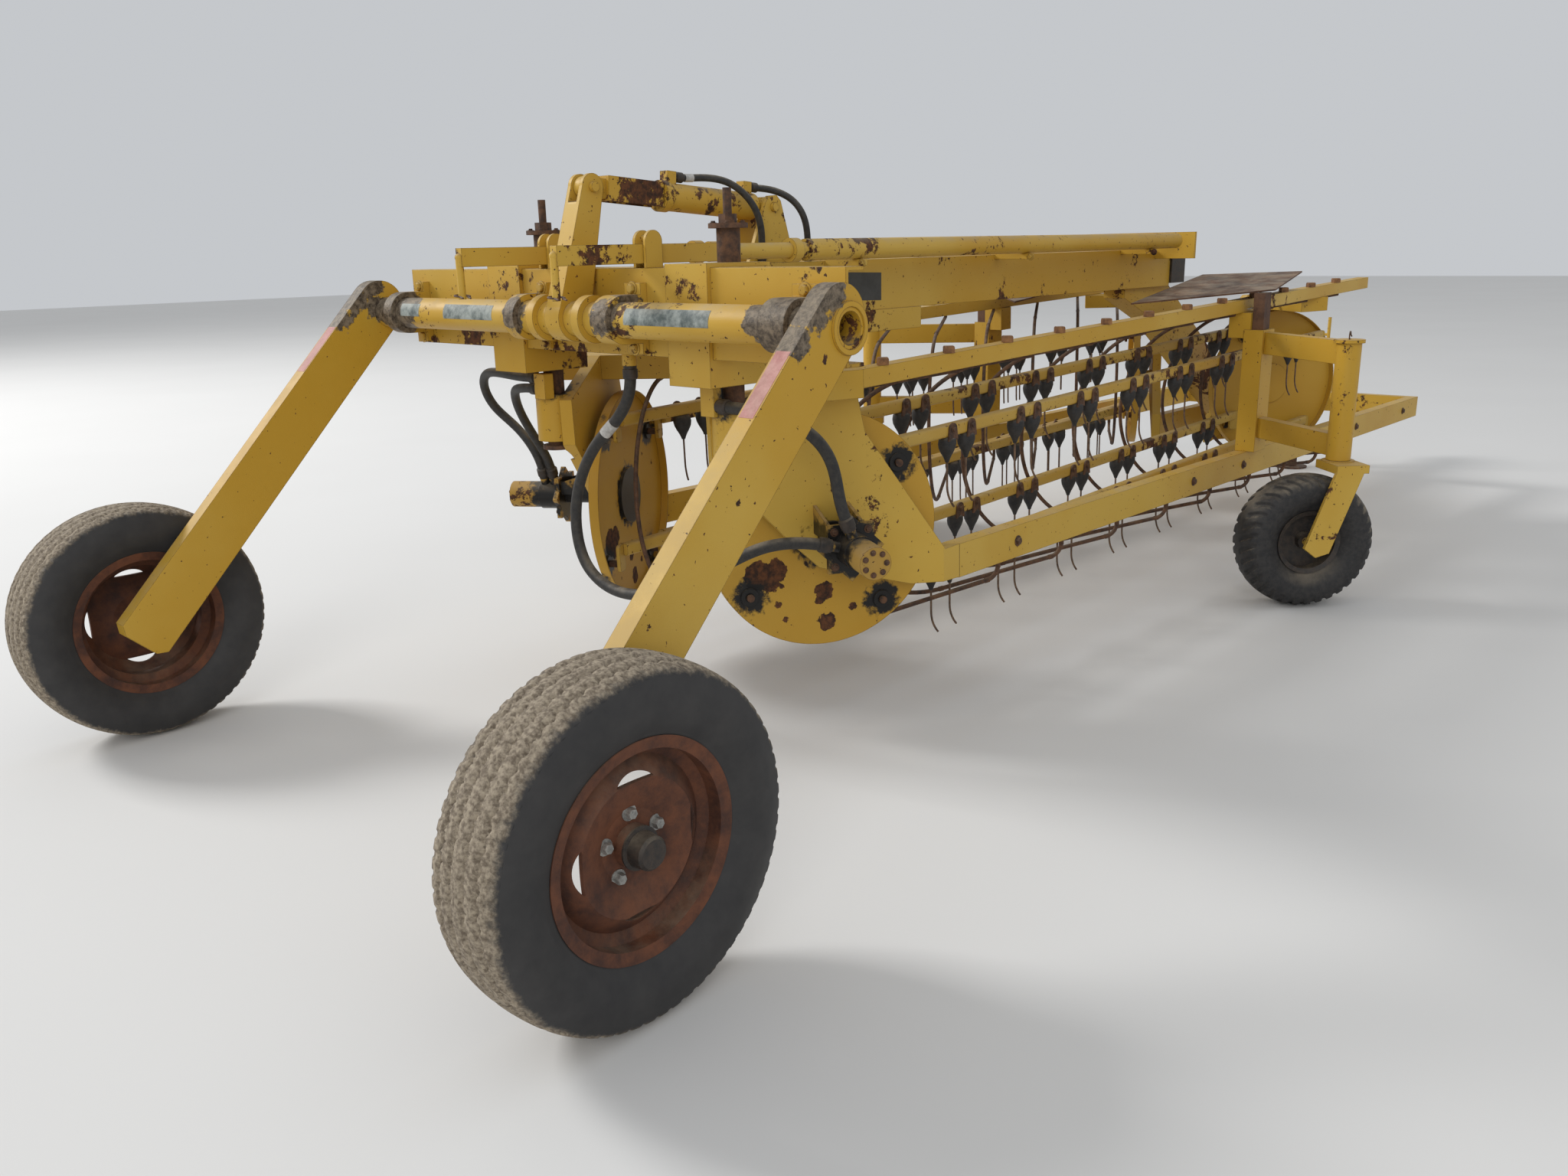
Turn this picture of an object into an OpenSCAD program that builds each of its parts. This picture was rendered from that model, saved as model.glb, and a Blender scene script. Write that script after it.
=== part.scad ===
// Twin parallel-bar hay rake, folded for transport.
// X points to the machine's right, Y points forward, Z points up.
// Every place is first given from the rock shaft's middle on the ground,
// and the whole machine is then moved so that its box is centred on the origin.
// Each basket is drawn on the right side, and the left one is its mirror image.

/* [Rear wheels] */
// Outer radius of a rear tyre
tyre_r = 340; // [320:2:360]
// Width of a rear tyre
tyre_w = 200; // [170:5:210]
// Outer radius of the rim's flange
rim_r = 208; // [195:1:215]
// Width of the rim between its two flanges
rim_w = 150; // [130:2:165]
// Distance between the middle planes of the two rear wheels
track = 2160; // [2140:5:2300]
// Distance of the wheel axle behind the rock shaft
axle_back = 800; // [740:5:860]

/* [Rock shaft and legs] */
// Height of the rock shaft above the ground
shaft_z = 1180; // [1160:2:1200]
// Outer radius of the rock shaft tube
shaft_r = 45; // [38:1:50]
// Wall of the rock shaft tube
shaft_wall = 9; // [5:1:15]
// Length of the rock shaft's open end outside each leg
shaft_over = 3; // [0:1:12]
// Width of a leg's box section, seen from behind
leg_w = 50; // [40:1:60]
// Depth of a leg's box section, seen from the side
leg_d = 150; // [120:2:170]
// Gap between the tyre's inner side and the leg
leg_gap = 25; // [15:1:60]
// Radius of the wheel spindle
spindle_r = 22; // [16:1:26]
// Height of the lever's pin above the rock shaft
lever_h = 330; // [300:5:340]
// Distance of the lever's pin ahead of the rock shaft
lever_y = 80; // [60:2:100]
// Thickness of the lever
lever_t = 60; // [40:2:70]

/* [Cross-beam and main beam] */
// Length of the cross-beam
cross_len = 1800; // [1700:10:1820]
// Height of the cross-beam's box section
cross_h = 220; // [180:5:240]
// Depth of the cross-beam's box section
cross_d = 200; // [180:5:220]
// Distance of the cross-beam's rear face ahead of the rock shaft
cross_y = 80; // [75:1:90]
// Height of the cross-beam's underside
cross_z = 1085; // [1070:1:1095]
// Width of the main beam
beam_w = 160; // [120:5:180]
// Height of the main beam's box section
beam_h = 160; // [130:5:180]
// Height of the main beam's underside
beam_z = 1145; // [1130:1:1150]
// Distance of the main beam's front end ahead of the rock shaft
beam_end = 3300; // [3200:10:3400]

/* [Tongue and jack] */
// Distance of the hitch pin ahead of the baskets' front ends
hitch_over = 710; // [610:10:860]
// Height of the hitch pin's middle
hitch_z = 450; // [420:5:480]
// Diameter of the hitch pin's hole
hitch_bore = 32; // [25:1:40]
// Width of the tongue's box section
tongue_w = 100; // [80:5:110]
// Height of the tongue's box section
tongue_h = 150; // [120:5:160]
// Distance at which the tongue comes level, ahead of the rock shaft
tongue_knee = 4250; // [4100:10:4400]
// Distance of the jack behind the hitch pin
jack_back = 400; // [300:10:500]
// Outer radius of the jack's outer tube
jack_r = 38; // [32:1:42]

/* [Lift cylinder] */
// Distance of the front pin ahead of the rock shaft
cyl_pin_y = 737; // [720:1:760]
// Height of the front pin
cyl_pin_z = 1464; // [1455:1:1475]
// Outer radius of the barrel
barrel_r = 38; // [32:1:40]
// Radius of the rod
rod_r = 16; // [12:1:19]
// Radius of the pins at both ends
cyl_pin_r = 13; // [10:1:14]

/* [Swing posts] */
// Distance of a swing post from the middle plane
post_x = 380; // [370:1:390]
// Distance of a swing post ahead of the rock shaft
post_y = 220; // [210:1:230]
// Radius of a swing post
post_r = 30; // [24:1:32]
// Height of the flange on top of a post
post_flange_z = 1410; // [1390:2:1430]
// Height of the top of a post's screw
post_top_z = 1495; // [1470:5:1510]

/* [Reels] */
// Radius of a reel disc
disc_r = 340; // [334:1:346]
// Distance of the rear disc's centre from the middle plane
disc_x = 425; // [420:1:430]
// Distance of the rear disc's centre ahead of the rock shaft
disc_y = 520; // [510:1:530]
// Height of the discs' centres
disc_z = 575; // [565:1:585]
// Angle between the reel's axle and the tine bars
disc_turn = 60; // [58:0.5:62]
// Thickness of a disc's plate
disc_t = 5; // [4:1:8]
// Depth of the flange round a disc
disc_rim = 28; // [20:1:30]
// Radius of the circle that the tine bars travel on
bar_circle = 285; // [278:1:288]
// Width of a tine bar
bar_w = 38; // [34:1:42]
// Length of a tine bar between its pivots
bar_len = 3310; // [3200:10:3400]
// Distance of a tine bar's middle line from the disc that carries it
bar_gap = 45; // [44:1:52]
// Number of tine bars on a reel
bar_count = 4; // [4:1:4]
// Angle of the first tine bar on its circle at rest
bar_phase = 37; // [0:1:89]
// Height of a tine bar's middle line above its pivots
bar_lift = 44; // [30:1:60]
// Radius of the bars' pivot pins
bar_pin_r = 11; // [9:1:13]

/* [Tines] */
// Number of tine pairs on a bar
tine_pairs = 8; // [7:1:8]
// Distance of the outermost pairs from the tine bar's pivots
tine_end = 325; // [300:5:340]
// Distance between the two tines of a pair
tine_gap = 100; // [90:2:110]
// Radius of a tine's wire
tine_r = 3.5; // [3:0.5:4]
// Depth of a tine's tip below the bar's middle line
tine_drop = 240; // [225:1:245]
// Largest radius of a tine's rubber holder
holder_r = 28; // [24:1:30]
// Height of a tine's rubber holder
holder_h = 76; // [68:1:82]

/* [Basket frame] */
// Angle by which the reels and upper tubes rise towards the front
basket_pitch = 1.7; // [0:0.1:2]
// Distance of the lower tube's middle from the middle plane
low_x = 630; // [628:1:645]
// Width of the lower tube
low_w = 50; // [40:2:54]
// Height of the lower tube's section
low_h = 102; // [80:2:110]
// Height of the lower tube's underside
low_z = 400; // [395:1:410]
// Length of the lower tube ahead of the front disc's centre
low_over = 1265; // [1200:5:1320]
// Length of the upper tube ahead of the front disc's centre
top_over = 485; // [440:5:525]
// Distance of the upper tube's middle from the middle plane
top_x = 570; // [560:1:580]
// Width of the upper tube
top_w = 50; // [40:2:56]
// Height of the upper tube's top face
top_z = 1036; // [1025:1:1060]
// Radius of the stripper rods
rod_strip_r = 7; // [5:0.5:8]
// Gap between the tine bars' sweep and the strippers
strip_gap = 14; // [8:1:20]

/* [Motors] */
// Radius of a hydraulic motor's body
motor_r = 43; // [38:1:48]
// Distance of a motor's end cap from the disc
motor_reach = 400; // [380:5:410]

/* [Caster wheels] */
// Radius of a caster tyre
caster_r = 250; // [240:1:254]
// Width of a caster tyre
caster_w = 180; // [150:5:190]
// Outer radius of a caster wheel's rim flange
caster_rim_r = 118; // [105:1:125]
// Distance of a caster post from the middle plane
caster_x = 1100; // [1080:2:1110]
// Distance of a caster post ahead of the rock shaft
caster_y = 2650; // [2600:5:2700]
// Distance that the caster wheel trails behind its post
caster_trail = 110; // [90:2:120]
// Angle that the caster wheel is turned at rest
caster_turn = 44; // [0:1:90]
// Outer radius of a caster post
caster_post_r = 43; // [38:1:46]
// Height of a caster post's lower end
caster_post_z = 548; // [545:1:560]
// Height of a caster post's upper end
caster_post_top = 985; // [960:5:1010]

/* [Hoses] */
// Outer radius of the left motor's hoses
hose_r = 14; // [10:1:15]
// Outer radius of the right motor's sheathed hoses
loop_r = 16; // [12:1:17]
// Outer radius of the lift cylinder's hoses
lift_hose_r = 10; // [7:1:12]

/* [Hidden] */
$fn = 48;
eps = 0.01;
// Small gap between pieces that turn or slide on each other
fit = 0.3;
yellow = [0.80, 0.58, 0.10];
rust = [0.36, 0.20, 0.13];
black = [0.07, 0.07, 0.07];
rubber = [0.10, 0.10, 0.10];

// Distance between neighbouring pairs of tines
tine_pitch = (bar_len - 2 * tine_end) / (tine_pairs - 1);
front_y = disc_y + bar_len + 2 * bar_gap * cos(disc_turn);
low_end = front_y + low_over;
top_end = front_y + top_over;
hitch_y = low_end + hitch_over;
jack_y = hitch_y - jack_back;
// Overall box along Y: the rear tyres' back and the tongue's tip
tongue_tip = hitch_y + 60;
y_back = -axle_back - tyre_r;
y_mid = (y_back + tongue_tip) / 2;
shaft_in = shaft_r - shaft_wall;
wheel_x = track / 2;
leg_out = wheel_x - tyre_w / 2 - leg_gap;
leg_in = leg_out - leg_w;
shaft_half = leg_out + shaft_over;
leg_len = norm([axle_back, shaft_z - tyre_r]);
leg_tilt = atan2(shaft_z - tyre_r, axle_back);
cross_front = cross_y + cross_d;
cross_top = cross_z + cross_h;
beam_top = beam_z + beam_h;
lever_pin = [lever_y, shaft_z + lever_h];
cyl_pin = [cyl_pin_y, cyl_pin_z];
cyl_len = norm(cyl_pin - lever_pin);
cyl_tilt = atan2(lever_pin[1] - cyl_pin[1], cyl_pin[0] - lever_pin[0]);

// Basket frame of reference: h runs along the disc and n is the disc's normal
h_dir = [cos(disc_turn), sin(disc_turn)];
n_dir = [sin(disc_turn), -cos(disc_turn)];
// Centre of the front disc: the bars lie inside both discs
front_c = [disc_x - 2 * bar_gap * n_dir[0], front_y];

// Moves the machine so that its box is centred over the origin
module placed() { translate([0, -y_mid, 0]) children(); }
// A basket's piece on the right side, or its mirror image on the left
module on_side(side) { placed() mirror([side < 0 ? 1 : 0, 0, 0]) children(); }
// A basket's piece in the basket's own slope
module pitched() {
    translate([0, disc_y, disc_z]) rotate([basket_pitch, 0, 0])
        translate([0, -disc_y, -disc_z]) children();
}
module on_basket(side) { on_side(side) pitched() children(); }
// Draws in a disc's own frame: X along the disc, Y up, Z along its outward normal
module at_disc(c) {
    translate([c[0], c[1], disc_z]) rotate([0, 0, disc_turn]) rotate([90, 0, 0]) children();
}
module tube_x(r, l) { rotate([0, 90, 0]) cylinder(r = r, h = l, center = true); }
module tube_y(r, l) { rotate([-90, 0, 0]) cylinder(r = r, h = l); }
// Box section given by two corners
module box(a, b) { translate(a) cube(b - a); }
// Flat outline with round corners
module round_rect(w, h, r) {
    square([w - 2 * r, h], center = true);
    square([w, h - 2 * r], center = true);
    for (x = [-1, 1], y = [-1, 1]) translate([x * (w / 2 - r), y * (h / 2 - r)]) circle(r = r);
}

// Tyre round the X axis: its beads lie between the rim's flanges and its sides bulge over them
module tyre(r, w, seat, flange_r, bead_w, groove_count, groove_d) {
    shoulder = r * 0.075;
    wall = r - flange_r;
    rotate([0, 90, 0]) difference() {
        rotate_extrude($fn = 96) polygon([
            [seat + fit, -bead_w / 2], [flange_r + 2 * fit, -bead_w / 2 - 4],
            [flange_r + 4, -w / 2 + 16], [flange_r + wall * 0.38, -w / 2],
            [r - shoulder * 1.4, -w / 2 + 6], [r - shoulder * 0.4, -w / 2 + shoulder],
            [r, -w / 2 + shoulder * 1.9], [r, w / 2 - shoulder * 1.9],
            [r - shoulder * 0.4, w / 2 - shoulder], [r - shoulder * 1.4, w / 2 - 6],
            [flange_r + wall * 0.38, w / 2], [flange_r + 4, w / 2 - 16],
            [flange_r + 2 * fit, bead_w / 2 + 4], [seat + fit, bead_w / 2]]);
        for (i = [1 : groove_count])
            translate([0, 0, (i / (groove_count + 1) - 0.5) * w * 0.78])
                rotate_extrude($fn = 96) translate([r - groove_d, -3]) square([groove_d + 1, 6]);
    }
}

// Steel rim round the X axis with a dished disc and a hub
module rim(r, w, hub_r, hub_l, bore, dish) {
    seat = r * 0.91;
    t = 5;
    rotate([0, 90, 0]) difference() {
        union() {
            rotate_extrude($fn = 96) polygon([
                [r, -w / 2], [r, -w / 2 + t], [seat, -w / 2 + t * 2], [seat, -w / 4],
                [seat - 22, -w / 6], [seat - 22, w / 6], [seat, w / 4],
                [seat, w / 2 - t * 2], [r, w / 2 - t], [r, w / 2],
                [seat - t, w / 2 - t], [seat - t, w / 4], [seat - 22 - t, w / 6],
                [seat - 22 - t, -w / 6], [seat - t, -w / 4], [seat - t, -w / 2 + t]]);
            rotate_extrude($fn = 96) polygon([
                [0, dish - 4], [hub_r + 28, dish - 4], [seat - 55, dish + 18],
                [seat - 24, w / 6 - 12], [seat - 23, w / 6 - 1], [seat - 60, dish + 26],
                [hub_r + 26, dish + 4], [0, dish + 4]]);
            translate([0, 0, dish - hub_l + 25]) cylinder(r = hub_r, h = hub_l);
        }
        translate([0, 0, dish - hub_l]) cylinder(r = bore, h = hub_l + 14);
        // Crescent hand holes
        for (a = [0 : 90 : 270]) rotate([0, 0, a]) translate([seat - 108, 0, dish - 60])
            linear_extrude(120) intersection() {
                circle(r = 60);
                translate([43, -50]) square([30, 100]);
            }
    }
}

// Main beam with its front bracket, saddles for the long tubes and cylinder anchor
saddle_y = [950, 1900, 2850];
tube_x0 = 200;
tube_r0 = 31;
tube_z0 = 1340;
tube_start = 710;
tube_end = 3090;
slide_r = 22;
anchor_t = 14;
module main_beam() {
    color(yellow) placed() {
        box([-beam_w / 2, cross_front, beam_z], [beam_w / 2, beam_end, beam_top]);
        box([-beam_w / 2 - 8, 1150, beam_z - 70], [beam_w / 2 + 8, 1430, beam_z]);
        for (y = saddle_y)
            box([-tube_x0 - 30, y - 12, tube_z0 - tube_r0 - 20],
                [tube_x0 + 30, y + 12, tube_z0 - tube_r0]);
        box([-tube_x0 - 60, tube_end + 60, beam_top - 40],
            [tube_x0 + 60, tube_end + 72, beam_top + 70]);
        difference() {
            for (s = [-1, 1]) translate([s * (barrel_r + anchor_t / 2 + 4), 0, 0])
                rotate([90, 0, 90]) linear_extrude(anchor_t, center = true) polygon([
                    [cyl_pin_y - 110, beam_top], [cyl_pin_y + 90, beam_top],
                    [cyl_pin_y + 32, cyl_pin_z + 18], [cyl_pin_y + 14, cyl_pin_z + 34],
                    [cyl_pin_y - 18, cyl_pin_z + 32], [cyl_pin_y - 34, cyl_pin_z + 12]]);
            translate([0, cyl_pin_y, cyl_pin_z]) tube_x(cyl_pin_r + fit, 300);
        }
    }
}

// Cross-beam: box section, sleeves round the swing posts, end plates and gussets
sleeve_w = 150;
module cross_beam() {
    color(yellow) placed() difference() {
        union() {
            box([-cross_len / 2, cross_y, cross_z], [cross_len / 2, cross_front, cross_top]);
            for (s = [-1, 1]) {
                box([s * post_x - sleeve_w / 2, cross_y - 12, cross_z - 70],
                    [s * post_x + sleeve_w / 2, cross_front + 12, cross_top + 10]);
                box([s * (cross_len / 2 + 5) - 6, cross_y - 6, cross_z - 10],
                    [s * (cross_len / 2 + 5) + 6, cross_front + 6, cross_top + 10]);
            }
            // Port under the beam for the right motor's hose
            translate([loop_port[0], loop_port[1], loop_port_z])
                cylinder(r = 20, h = cross_z - loop_port_z + 1);
            for (s = [-1, 1]) translate([s * (beam_w / 2 + 6), 0, 0])
                rotate([90, 0, 90]) linear_extrude(12, center = true) polygon([
                    [cross_front, cross_z], [cross_front + 380, beam_z + 4],
                    [cross_front + 380, beam_top - 30], [cross_front, cross_top]]);
        }
        for (s = [-1, 1]) translate([s * post_x, post_y, cross_z - 100])
            cylinder(r = post_r + fit, h = cross_h + 200);
    }
}

// Vertical posts that the baskets swing on, each with a flange and a screw on top
post_low_z = 785;
module swing_posts() {
    color(rust) placed() for (s = [-1, 1]) translate([s * post_x, post_y, 0]) {
        translate([0, 0, post_low_z]) cylinder(r = post_r, h = post_flange_z - post_low_z);
        translate([0, 0, post_flange_z - 12]) cylinder(r = 50, h = 12);
        translate([0, 0, post_flange_z]) cylinder(r = 11, h = post_top_z - post_flange_z);
        translate([0, 0, post_flange_z]) cylinder(r = 24, h = 22, $fn = 6);
        translate([0, 0, post_low_z - 12]) cylinder(r = 46, h = 12);
    }
}

// Four blocks that hold the rock shaft against the cross-beam's rear face
block_w = [44, 44, 62, 80];
// Room between an outer block and the leg beside it
block_room = [73, 85];
block_x = [-leg_in + block_room[0] + block_w[0] / 2, -190, 190,
    leg_in - block_room[1] - block_w[3] / 2];
module bearing_blocks() {
    color(yellow) placed() for (i = [0 : 3]) translate([block_x[i], 0, shaft_z]) {
        difference() {
            union() {
                tube_x(shaft_r + 16, block_w[i]);
                box([-block_w[i] / 2, 0, -shaft_r - 16],
                    [block_w[i] / 2, cross_y, shaft_r + 16]);
                box([-block_w[i] / 2, cross_y - 22, -shaft_r - 44],
                    [block_w[i] / 2, cross_y, shaft_r + 44]);
            }
            tube_x(shaft_r + fit, block_w[i] + 10);
        }
    }
}

// Long tubes and sliding link bars on top of the frame, one set on each side
module link_bars() {
    color(yellow) placed() for (s = [-1, 1]) translate([s * tube_x0, 0, tube_z0]) {
        difference() {
            translate([0, tube_start, 0]) tube_y(tube_r0, tube_end - tube_start);
            translate([0, tube_start - 1, 0]) tube_y(slide_r + fit, 320);
        }
        translate([0, 420, 0]) tube_y(slide_r, 560);
        translate([0, 640, 0]) tube_y(34, 34);
        box([-13, -190, -24], [13, 430, 24]);
        translate([0, -190, 0]) {
            sphere(r = 11);
            rotate([0, 0, 0]) translate([0, 0, -105]) cylinder(r = 10, h = 110);
        }
        for (side = [-1, 1]) translate([side * 20, cross_y + 28, 0]) {
            box([-5, -28, cross_top - tube_z0], [5, 28, 30]);
            translate([0, 0, 30]) tube_x(28, 10);
        }
        translate([0, cross_y + 28, 38]) tube_x(8, 40);
    }
}

// Hydraulic valve block at the front end of the main beam
module valve_block() {
    color(black) placed() {
        box([-70, beam_end, beam_z + 12], [90, beam_end + 130, beam_top - 20]);
        for (x = [-40, 0, 40]) translate([x, beam_end + 65, beam_top - 20])
            cylinder(r = 16, h = 45);
        for (x = [-35, 35]) translate([x, beam_end + 130, beam_z + 50]) tube_y(15, 40);
    }
}

// Tongue: drops from the main beam, runs level to the hitch and carries the jack's tube
jack_top = 760;
jack_foot = 10;
// Height by which the jack's inner tube can be raised
jack_lift = 250;
module tongue() {
    color(yellow) placed() {
        difference() {
            union() {
                translate([0, 0, 0]) rotate([90, 0, 90]) linear_extrude(tongue_w, center = true)
                    polygon([[beam_end - 350, beam_z - 40], [beam_end - 350, beam_z],
                        [beam_end, beam_z], [beam_end + 60, beam_z],
                        [tongue_knee + 60, hitch_z + tongue_h / 2],
                        [hitch_y - 150, hitch_z + tongue_h / 2],
                        [hitch_y - 150, hitch_z - tongue_h / 2],
                        [tongue_knee, hitch_z - tongue_h / 2],
                        [beam_end - 60, beam_z - tongue_h]]);
                for (z = [-1, 1]) translate([0, 0, hitch_z + z * 42 - 12]) {
                    translate([0, hitch_y, 0]) cylinder(r = 60, h = 24);
                    box([-60, hitch_y - 220, 0], [60, hitch_y, 24]);
                }
                // Jack tube and the plate that holds it
                translate([-tongue_w / 2 - jack_r - 12, jack_y, jack_foot + jack_lift + 8])
                    cylinder(r = jack_r, h = jack_top - jack_foot - jack_lift - 8);
                box([-tongue_w / 2 - jack_r - 12, jack_y - 60, hitch_z - 55],
                    [-tongue_w / 2 + eps, jack_y + 60, hitch_z + 55]);
            }
            translate([0, hitch_y, hitch_z - 100]) cylinder(d = hitch_bore, h = 200);
            translate([-tongue_w / 2 - jack_r - 12, jack_y, 200])
                cylinder(r = jack_r - 6, h = jack_top - 210);
        }
        translate([-tongue_w / 2 - jack_r - 12, jack_y, jack_top]) {
            cylinder(r = 14, h = 40);
            translate([0, 0, 32]) rotate([0, 90, 0]) cylinder(r = 8, h = 150);
            translate([150, 0, 0]) cylinder(r = 9, h = 130);
        }
    }
}

// Inner tube of the jack with its foot
module jack_leg() {
    color(rust) placed() translate([-tongue_w / 2 - jack_r - 12, jack_y, 0]) {
        translate([0, 0, jack_foot - 2])
            cylinder(r = jack_r - 6 - fit, h = jack_top - jack_lift - 30);
        cylinder(r = 90, h = jack_foot);
    }
}

// Rock shaft tube with the lever that the lift cylinder turns
module rock_shaft() {
    color(yellow) placed() translate([0, 0, shaft_z]) difference() {
        union() {
            tube_x(shaft_r, 2 * shaft_half);
            for (s = [-1, 1]) translate([s * 95, 0, 0]) tube_x(shaft_r + 16, 30);
            rotate([90, 0, 90]) linear_extrude(lever_t, center = true) union() {
                circle(r = shaft_r + 14);
                translate([lever_y, lever_h]) circle(r = 34);
                polygon([[-shaft_r - 12, 10], [shaft_r, -10],
                    [lever_y + 33, lever_h - 6], [lever_y - 33, lever_h + 6]]);
            }
        }
        tube_x(shaft_in, 2 * shaft_half + 2);
        box([-17, lever_y - 46, lever_h - 46], [17, lever_y + 46, lever_h + 46]);
    }
    color(rust) placed() translate([0, lever_y, shaft_z + lever_h])
        tube_x(cyl_pin_r, lever_t + 24);
}

// The two legs: box section, ear round the shaft and the wheel's spindle
leg_end = 70;
module legs() {
    color(yellow) placed() for (s = [-1, 1]) translate([0, 0, shaft_z]) {
        difference() {
            union() {
                translate([s * (leg_in + leg_w / 2), 0, 0]) rotate([leg_tilt, 0, 0])
                    rotate([90, 0, 90]) linear_extrude(leg_w, center = true) union() {
                        translate([-leg_len - leg_end + 20, -leg_d / 2 + 30])
                            square([leg_len + leg_end - 20, leg_d]);
                        translate([0, 30]) circle(r = leg_d / 2);
                        polygon([[-leg_len - leg_end + 21, -leg_d / 2 + 30],
                            [-leg_len - leg_end + 21, leg_d / 2 + 30],
                            [-leg_len - leg_end, leg_d / 2 + 5],
                            [-leg_len - leg_end, -leg_d / 2 + 55]]);
                    }
                translate([s * (leg_out + 2), 0, 0]) tube_x(shaft_r + 12, 8);
            }
            tube_x(shaft_r, 2 * leg_out + 100);
        }
        translate([s * (leg_out - 10), -axle_back, tyre_r - shaft_z]) rotate([0, s * 90, 0])
            cylinder(r = spindle_r, h = wheel_x - leg_out + 51);
    }
}

module tyre_right() { rear_tyre(1); }
module tyre_left() { rear_tyre(-1); }
module rim_right() { rear_rim(1); }
module rim_left() { rear_rim(-1); }
module rear_tyre(side) {
    color(rubber) on_side(side) translate([wheel_x, -axle_back, tyre_r])
        tyre(tyre_r, tyre_w, rim_r * 0.91, rim_r, rim_w - 22, 4, 8);
}
module rear_rim(side) {
    color(rust) on_side(side) translate([wheel_x, -axle_back, tyre_r])
        rim(rim_r, rim_w, 40, 100, spindle_r + fit, 28);
}

// Lift cylinder: barrel with its ports and clevis, and the rod with its yoke
barrel_len = 360;
// The rod's eye is opened so that it keeps clear of the lever's pin through its travel
eye_room = 6;
module along_cylinder() {
    placed() translate([0, cyl_pin_y, cyl_pin_z]) rotate([-cyl_tilt, 0, 0]) children();
}
module lift_barrel() {
    color(yellow) along_cylinder() {
        translate([0, -40 - barrel_len, 0]) difference() {
            tube_y(barrel_r, barrel_len);
            translate([0, -1, 0]) tube_y(barrel_r - 7, barrel_len - 30);
        }
        translate([0, -46 - barrel_len, 0]) difference() {
            tube_y(barrel_r + 4, 26);
            translate([0, -1, 0]) tube_y(rod_r + fit, 40);
        }
        for (y = [-70, -barrel_len - 10]) translate([0, y, barrel_r - 6])
            box([-16, -16, 0], [16, 16, 36]);
        difference() {
            union() { tube_x(30, 2 * barrel_r); box([-24, -60, -26], [24, 0, 26]); }
            tube_x(cyl_pin_r, 200);
        }
        tube_x(cyl_pin_r, 2 * barrel_r + 2 * anchor_t + 30);
    }
}
stop_len = cyl_len - 46 - barrel_len - 4;
module lift_rod() {
    color(yellow) along_cylinder() {
        translate([0, -cyl_len + 46, 0]) tube_y(rod_r, cyl_len - 46 - 120);
        translate([0, -cyl_len, 0]) {
            difference() {
                union() { tube_x(28, 30); box([-15, 0, -26], [15, 60, 26]); }
                tube_x(cyl_pin_r + eye_room, 60);
            }
            for (s = [-1, 1]) box([s * 24 - 4, 62, -30], [s * 24 + 4, stop_len, 30]);
            box([-28, 62, 26], [28, stop_len, 34]);
            box([-28, 55, -30], [28, 63, 34]);
        }
    }
}

arm_n = 30;
arm_t = 40;
head_n = -112;
axle_r = 26;
collar_z = 800;
head_top = top_z - disc_z;
low_top = low_z + low_h;
slope = tan(basket_pitch);
arm_low = low_z - disc_z - 9;
head_low = low_z - disc_z - (bar_len - 60) * slope;
caster_pin_r = 28;
caster_pin_l = 400;
module post_hole() {
    translate([post_x, post_y, 700]) cylinder(r = post_r + fit, h = 400);
}
// Rear arm: head box, plate that carries the motor and the disc, and post collar
block_top = [post_x + 1, post_y - 39, collar_z + 204];
module rear_arm() {
    difference() {
        union() {
            difference() {
                pitched() at_disc([disc_x, disc_y]) {
                    translate([0, 0, arm_n]) linear_extrude(arm_t) polygon([
                        [-330, 225], [-330, 360], [-70, head_top], [70, head_top],
                        [105, 280], [345, arm_low + low_h], [420, arm_low + low_h],
                        [420, arm_low], [235, arm_low + 12], [-40, -90], [-110, -20]]);
                    translate([-70, head_top - 75, -270]) cube([140, 75, 430]);
                }
                translate([post_x, post_y, 740]) cylinder(r = 53, h = collar_z - 739);
                translate([low_x + low_w / 2, 600, 300]) cube([200, 500, 400]);
            }
            translate([post_x, post_y, collar_z]) cylinder(r = 58, h = 140);
            // Block that the motor's hoses end on
            box([post_x - 49, post_y - 72, collar_z + 130], block_top);
        }
        post_hole();
        pitched() at_disc([disc_x, disc_y]) cylinder(r = axle_r + fit, h = 200, center = true);
    }
}
module rear_arm_right() { color(yellow) on_side(1) rear_arm(); }
module rear_arm_left() { color(yellow) on_side(-1) rear_arm(); }

// Upper tube, which starts at the head box, and lower tube, which starts at the arm's plate
// and turns back in a loop at the front
inner_x = 150;
inner_start = front_y - 175;
module basket_tubes() {
    pitched() difference() {
        box([top_x - top_w / 2, 430, top_z - 50], [top_x + top_w / 2, top_end, top_z]);
        at_disc([disc_x, disc_y]) translate([fit - 930, 0, -500]) cube([1000, 900, 1000]);
    }
    difference() {
        union() {
            box([low_x - low_w / 2, 600, low_z], [low_x + low_w / 2, low_end, low_top]);
            box([inner_x - low_w / 2, low_end - 52, low_z], [low_x, low_end, low_top]);
            box([inner_x - low_w / 2, inner_start, low_z], [inner_x + low_w / 2, low_end, low_top]);
        }
        pitched() at_disc([disc_x, disc_y]) translate([-500, -400, arm_n - fit])
            cube([1300, 800, 500]);
        pitched() at_disc(front_c) translate([-500, -500, head_n - fit]) cube([500, 800, 400]);
    }
}
module basket_tubes_right() { color(yellow) on_side(1) basket_tubes(); }
module basket_tubes_left() { color(yellow) on_side(-1) basket_tubes(); }

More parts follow.
